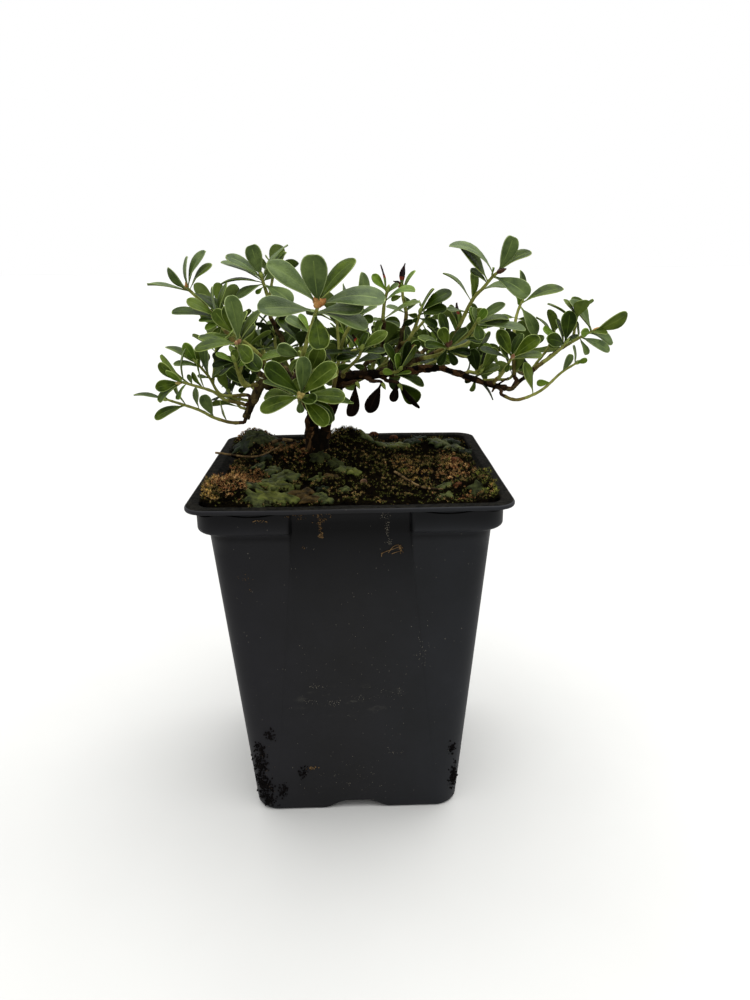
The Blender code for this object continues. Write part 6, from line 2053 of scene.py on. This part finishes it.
def dress_leaves(leaves, nodes):
    """Each tone's leaves as a piece; the first stands for the source's shoots."""
    for tone, pile in leaves.items():
        colours = LEAF_FINISHES[tone].split()
        blade, edge, under, rib = zip(colours[::2], colours[1::2])
        gloss = LEAF_GLOSS.get(tone, 0.05)
        materials = [
            living_tissue(tone + "_leaf_upper", *blade, LEAF_ROUGH.get(tone, 0.36), gloss, 5.2632, 0.6),
            living_tissue(tone + "_leaf_edge", *edge, 0.6, 0.04),
            living_tissue(tone + "_leaf_underside", *under, 0.65, 0.04),
            living_tissue(tone + "_leaf_rib", *rib, 0.5, gloss),
        ]
        if tone == "scorched":
            materials.append(living_tissue("scorched_leaf_tip", "#040202", "#1d0706", 0.5, 0.03, 2.0))
            materials.append(living_tissue("reddened_leaf", "#3c1108", "#7a2a10", 0.5, 0.05, 2.0))
        pile.piece(tone + "_leaves", materials, "foliage", nodes if tone == "mature" else ())


def dress_plant():
    """The trunk and boughs, and every shoot grown on them."""
    space = Space()
    trunk = loft([trunk_ring(TRUNK_SIDES, *ring) for ring in TRUNK_RINGS])
    space.take("trunk", trunk, trunk)
    limbs = grow_boughs(space)
    grow_bark(limbs, [
        flaking_bark("flaking_bearberry_bark", "#080503", "#20150b", "#543a22"),
        flaking_bark("thin_young_bark", "#1b160c", "#38301b", "#5c4f2f"),
        flaking_bark("stringy_trunk_bark", "#090603", "#1c140a", "#48321c", 5.0),
        flaking_bark("red_brown_trunk_bark", "#100b06", "#2f2012", "#5f472d", 5.0),
    ])
    foliage = Foliage(space)
    twigs = [lead_twig(entry, limbs, space) for entry in SHOOTS]
    for entry, twig in zip(SHOOTS, twigs):
        foliage.grow_shoot(entry, twig, limbs[entry[1]])
    rng = random.Random(17)
    for bough, share, tip in INNER_TWIGS:
        foliage.inner_twig(rng, bough, limbs[bough].at(share)[0], Vector(tip))
    dress_leaves(foliage.leaves, [entry[0] for entry in SHOOTS])
    ages = [living_tissue(name, low, high, *finish, 3.3333, 0.4) for name, low, high, *finish in TWIG_AGES]
    foliage.twigs.piece("twigs", ages, "foliage")
    buds = [living_tissue(name, low, high, *finish, 2.0) for name, low, high, *finish in BUD_KINDS]
    foliage.buds.piece("buds", buds, "foliage")


def set_stage():
    """Camera at the photograph's place, a pale floor, a white dome and one broad soft sun."""
    lens = bpy.data.cameras.new("camera")
    lens.lens = CAMERA_LENS
    lens.sensor_width = CAMERA_SENSOR
    lens.sensor_fit = "AUTO"
    lens.clip_start, lens.clip_end = 0.01, 20
    camera = bpy.data.objects.new("camera", lens)
    place = Matrix.Translation(Vector(CAMERA_PLACE) * MM)
    yaw = Matrix.Rotation(-radians(CAMERA_YAW), 4, "Z")
    pitch = Matrix.Rotation(radians(90 - CAMERA_PITCH), 4, "X")
    roll = Matrix.Rotation(radians(CAMERA_ROLL), 4, "Z")
    camera.matrix_world = place @ yaw @ pitch @ roll
    bpy.context.scene.collection.objects.link(camera)
    bpy.context.scene.camera = camera
    floor_mesh = bpy.data.meshes.new("floor")
    corners = [(x * FLOOR_HALF, y * FLOOR_HALF, 0) for x, y in ((-1, -1), (1, -1), (1, 1), (-1, 1))]
    floor_mesh.from_pydata(corners, [], [(0, 1, 2, 3)])
    floor_mesh.materials.append(pale_board())
    floor = bpy.data.objects.new("floor", floor_mesh)
    bpy.context.scene.collection.objects.link(floor)
    world = bpy.data.worlds.new("studio")
    world.use_nodes = True
    world.node_tree.nodes["Background"].inputs["Color"].default_value = (1, 1, 1, 1)
    world.node_tree.nodes["Background"].inputs["Strength"].default_value = DOME
    bpy.context.scene.world = world
    lamp = bpy.data.lights.new("soft_sun", "SUN")
    lamp.energy = SUN
    lamp.angle = radians(SUN_WIDTH)
    sun = bpy.data.objects.new("soft_sun", lamp)
    sun.rotation_euler = Vector(SUN_FROM).to_track_quat("Z", "Y").to_euler()
    bpy.context.scene.collection.objects.link(sun)
    bpy.context.scene.view_settings.view_transform = "Standard"


def main():
    """The stage, the pot with its dirt, the ground in it and the plant."""
    set_stage()
    peat = damp_peat()
    plastic = moulded_polypropylene()
    make_pot(plastic, damp_peat("peat_smeared_plastic", "#0b0b0a", "#211f1a", 0.03))
    # The webs' near black finish is a painted shadow line under them.
    make_webs(plastic, damp_peat("painted_web_shadow", "#040404", "#0a0a09", 0.01))
    dress_ground(peat)
    scatter_crumbs({
        "crumb": damp_peat("dry_crumb", "#4a3a26", "#846a48"),
        "dust_and_shade": damp_peat("pale_dust", "#6b665a", "#8f8a7c"),
        "clod": damp_peat("wet_clod", "#0a0909", "#171413"),
    })
    dress_plant()


main()
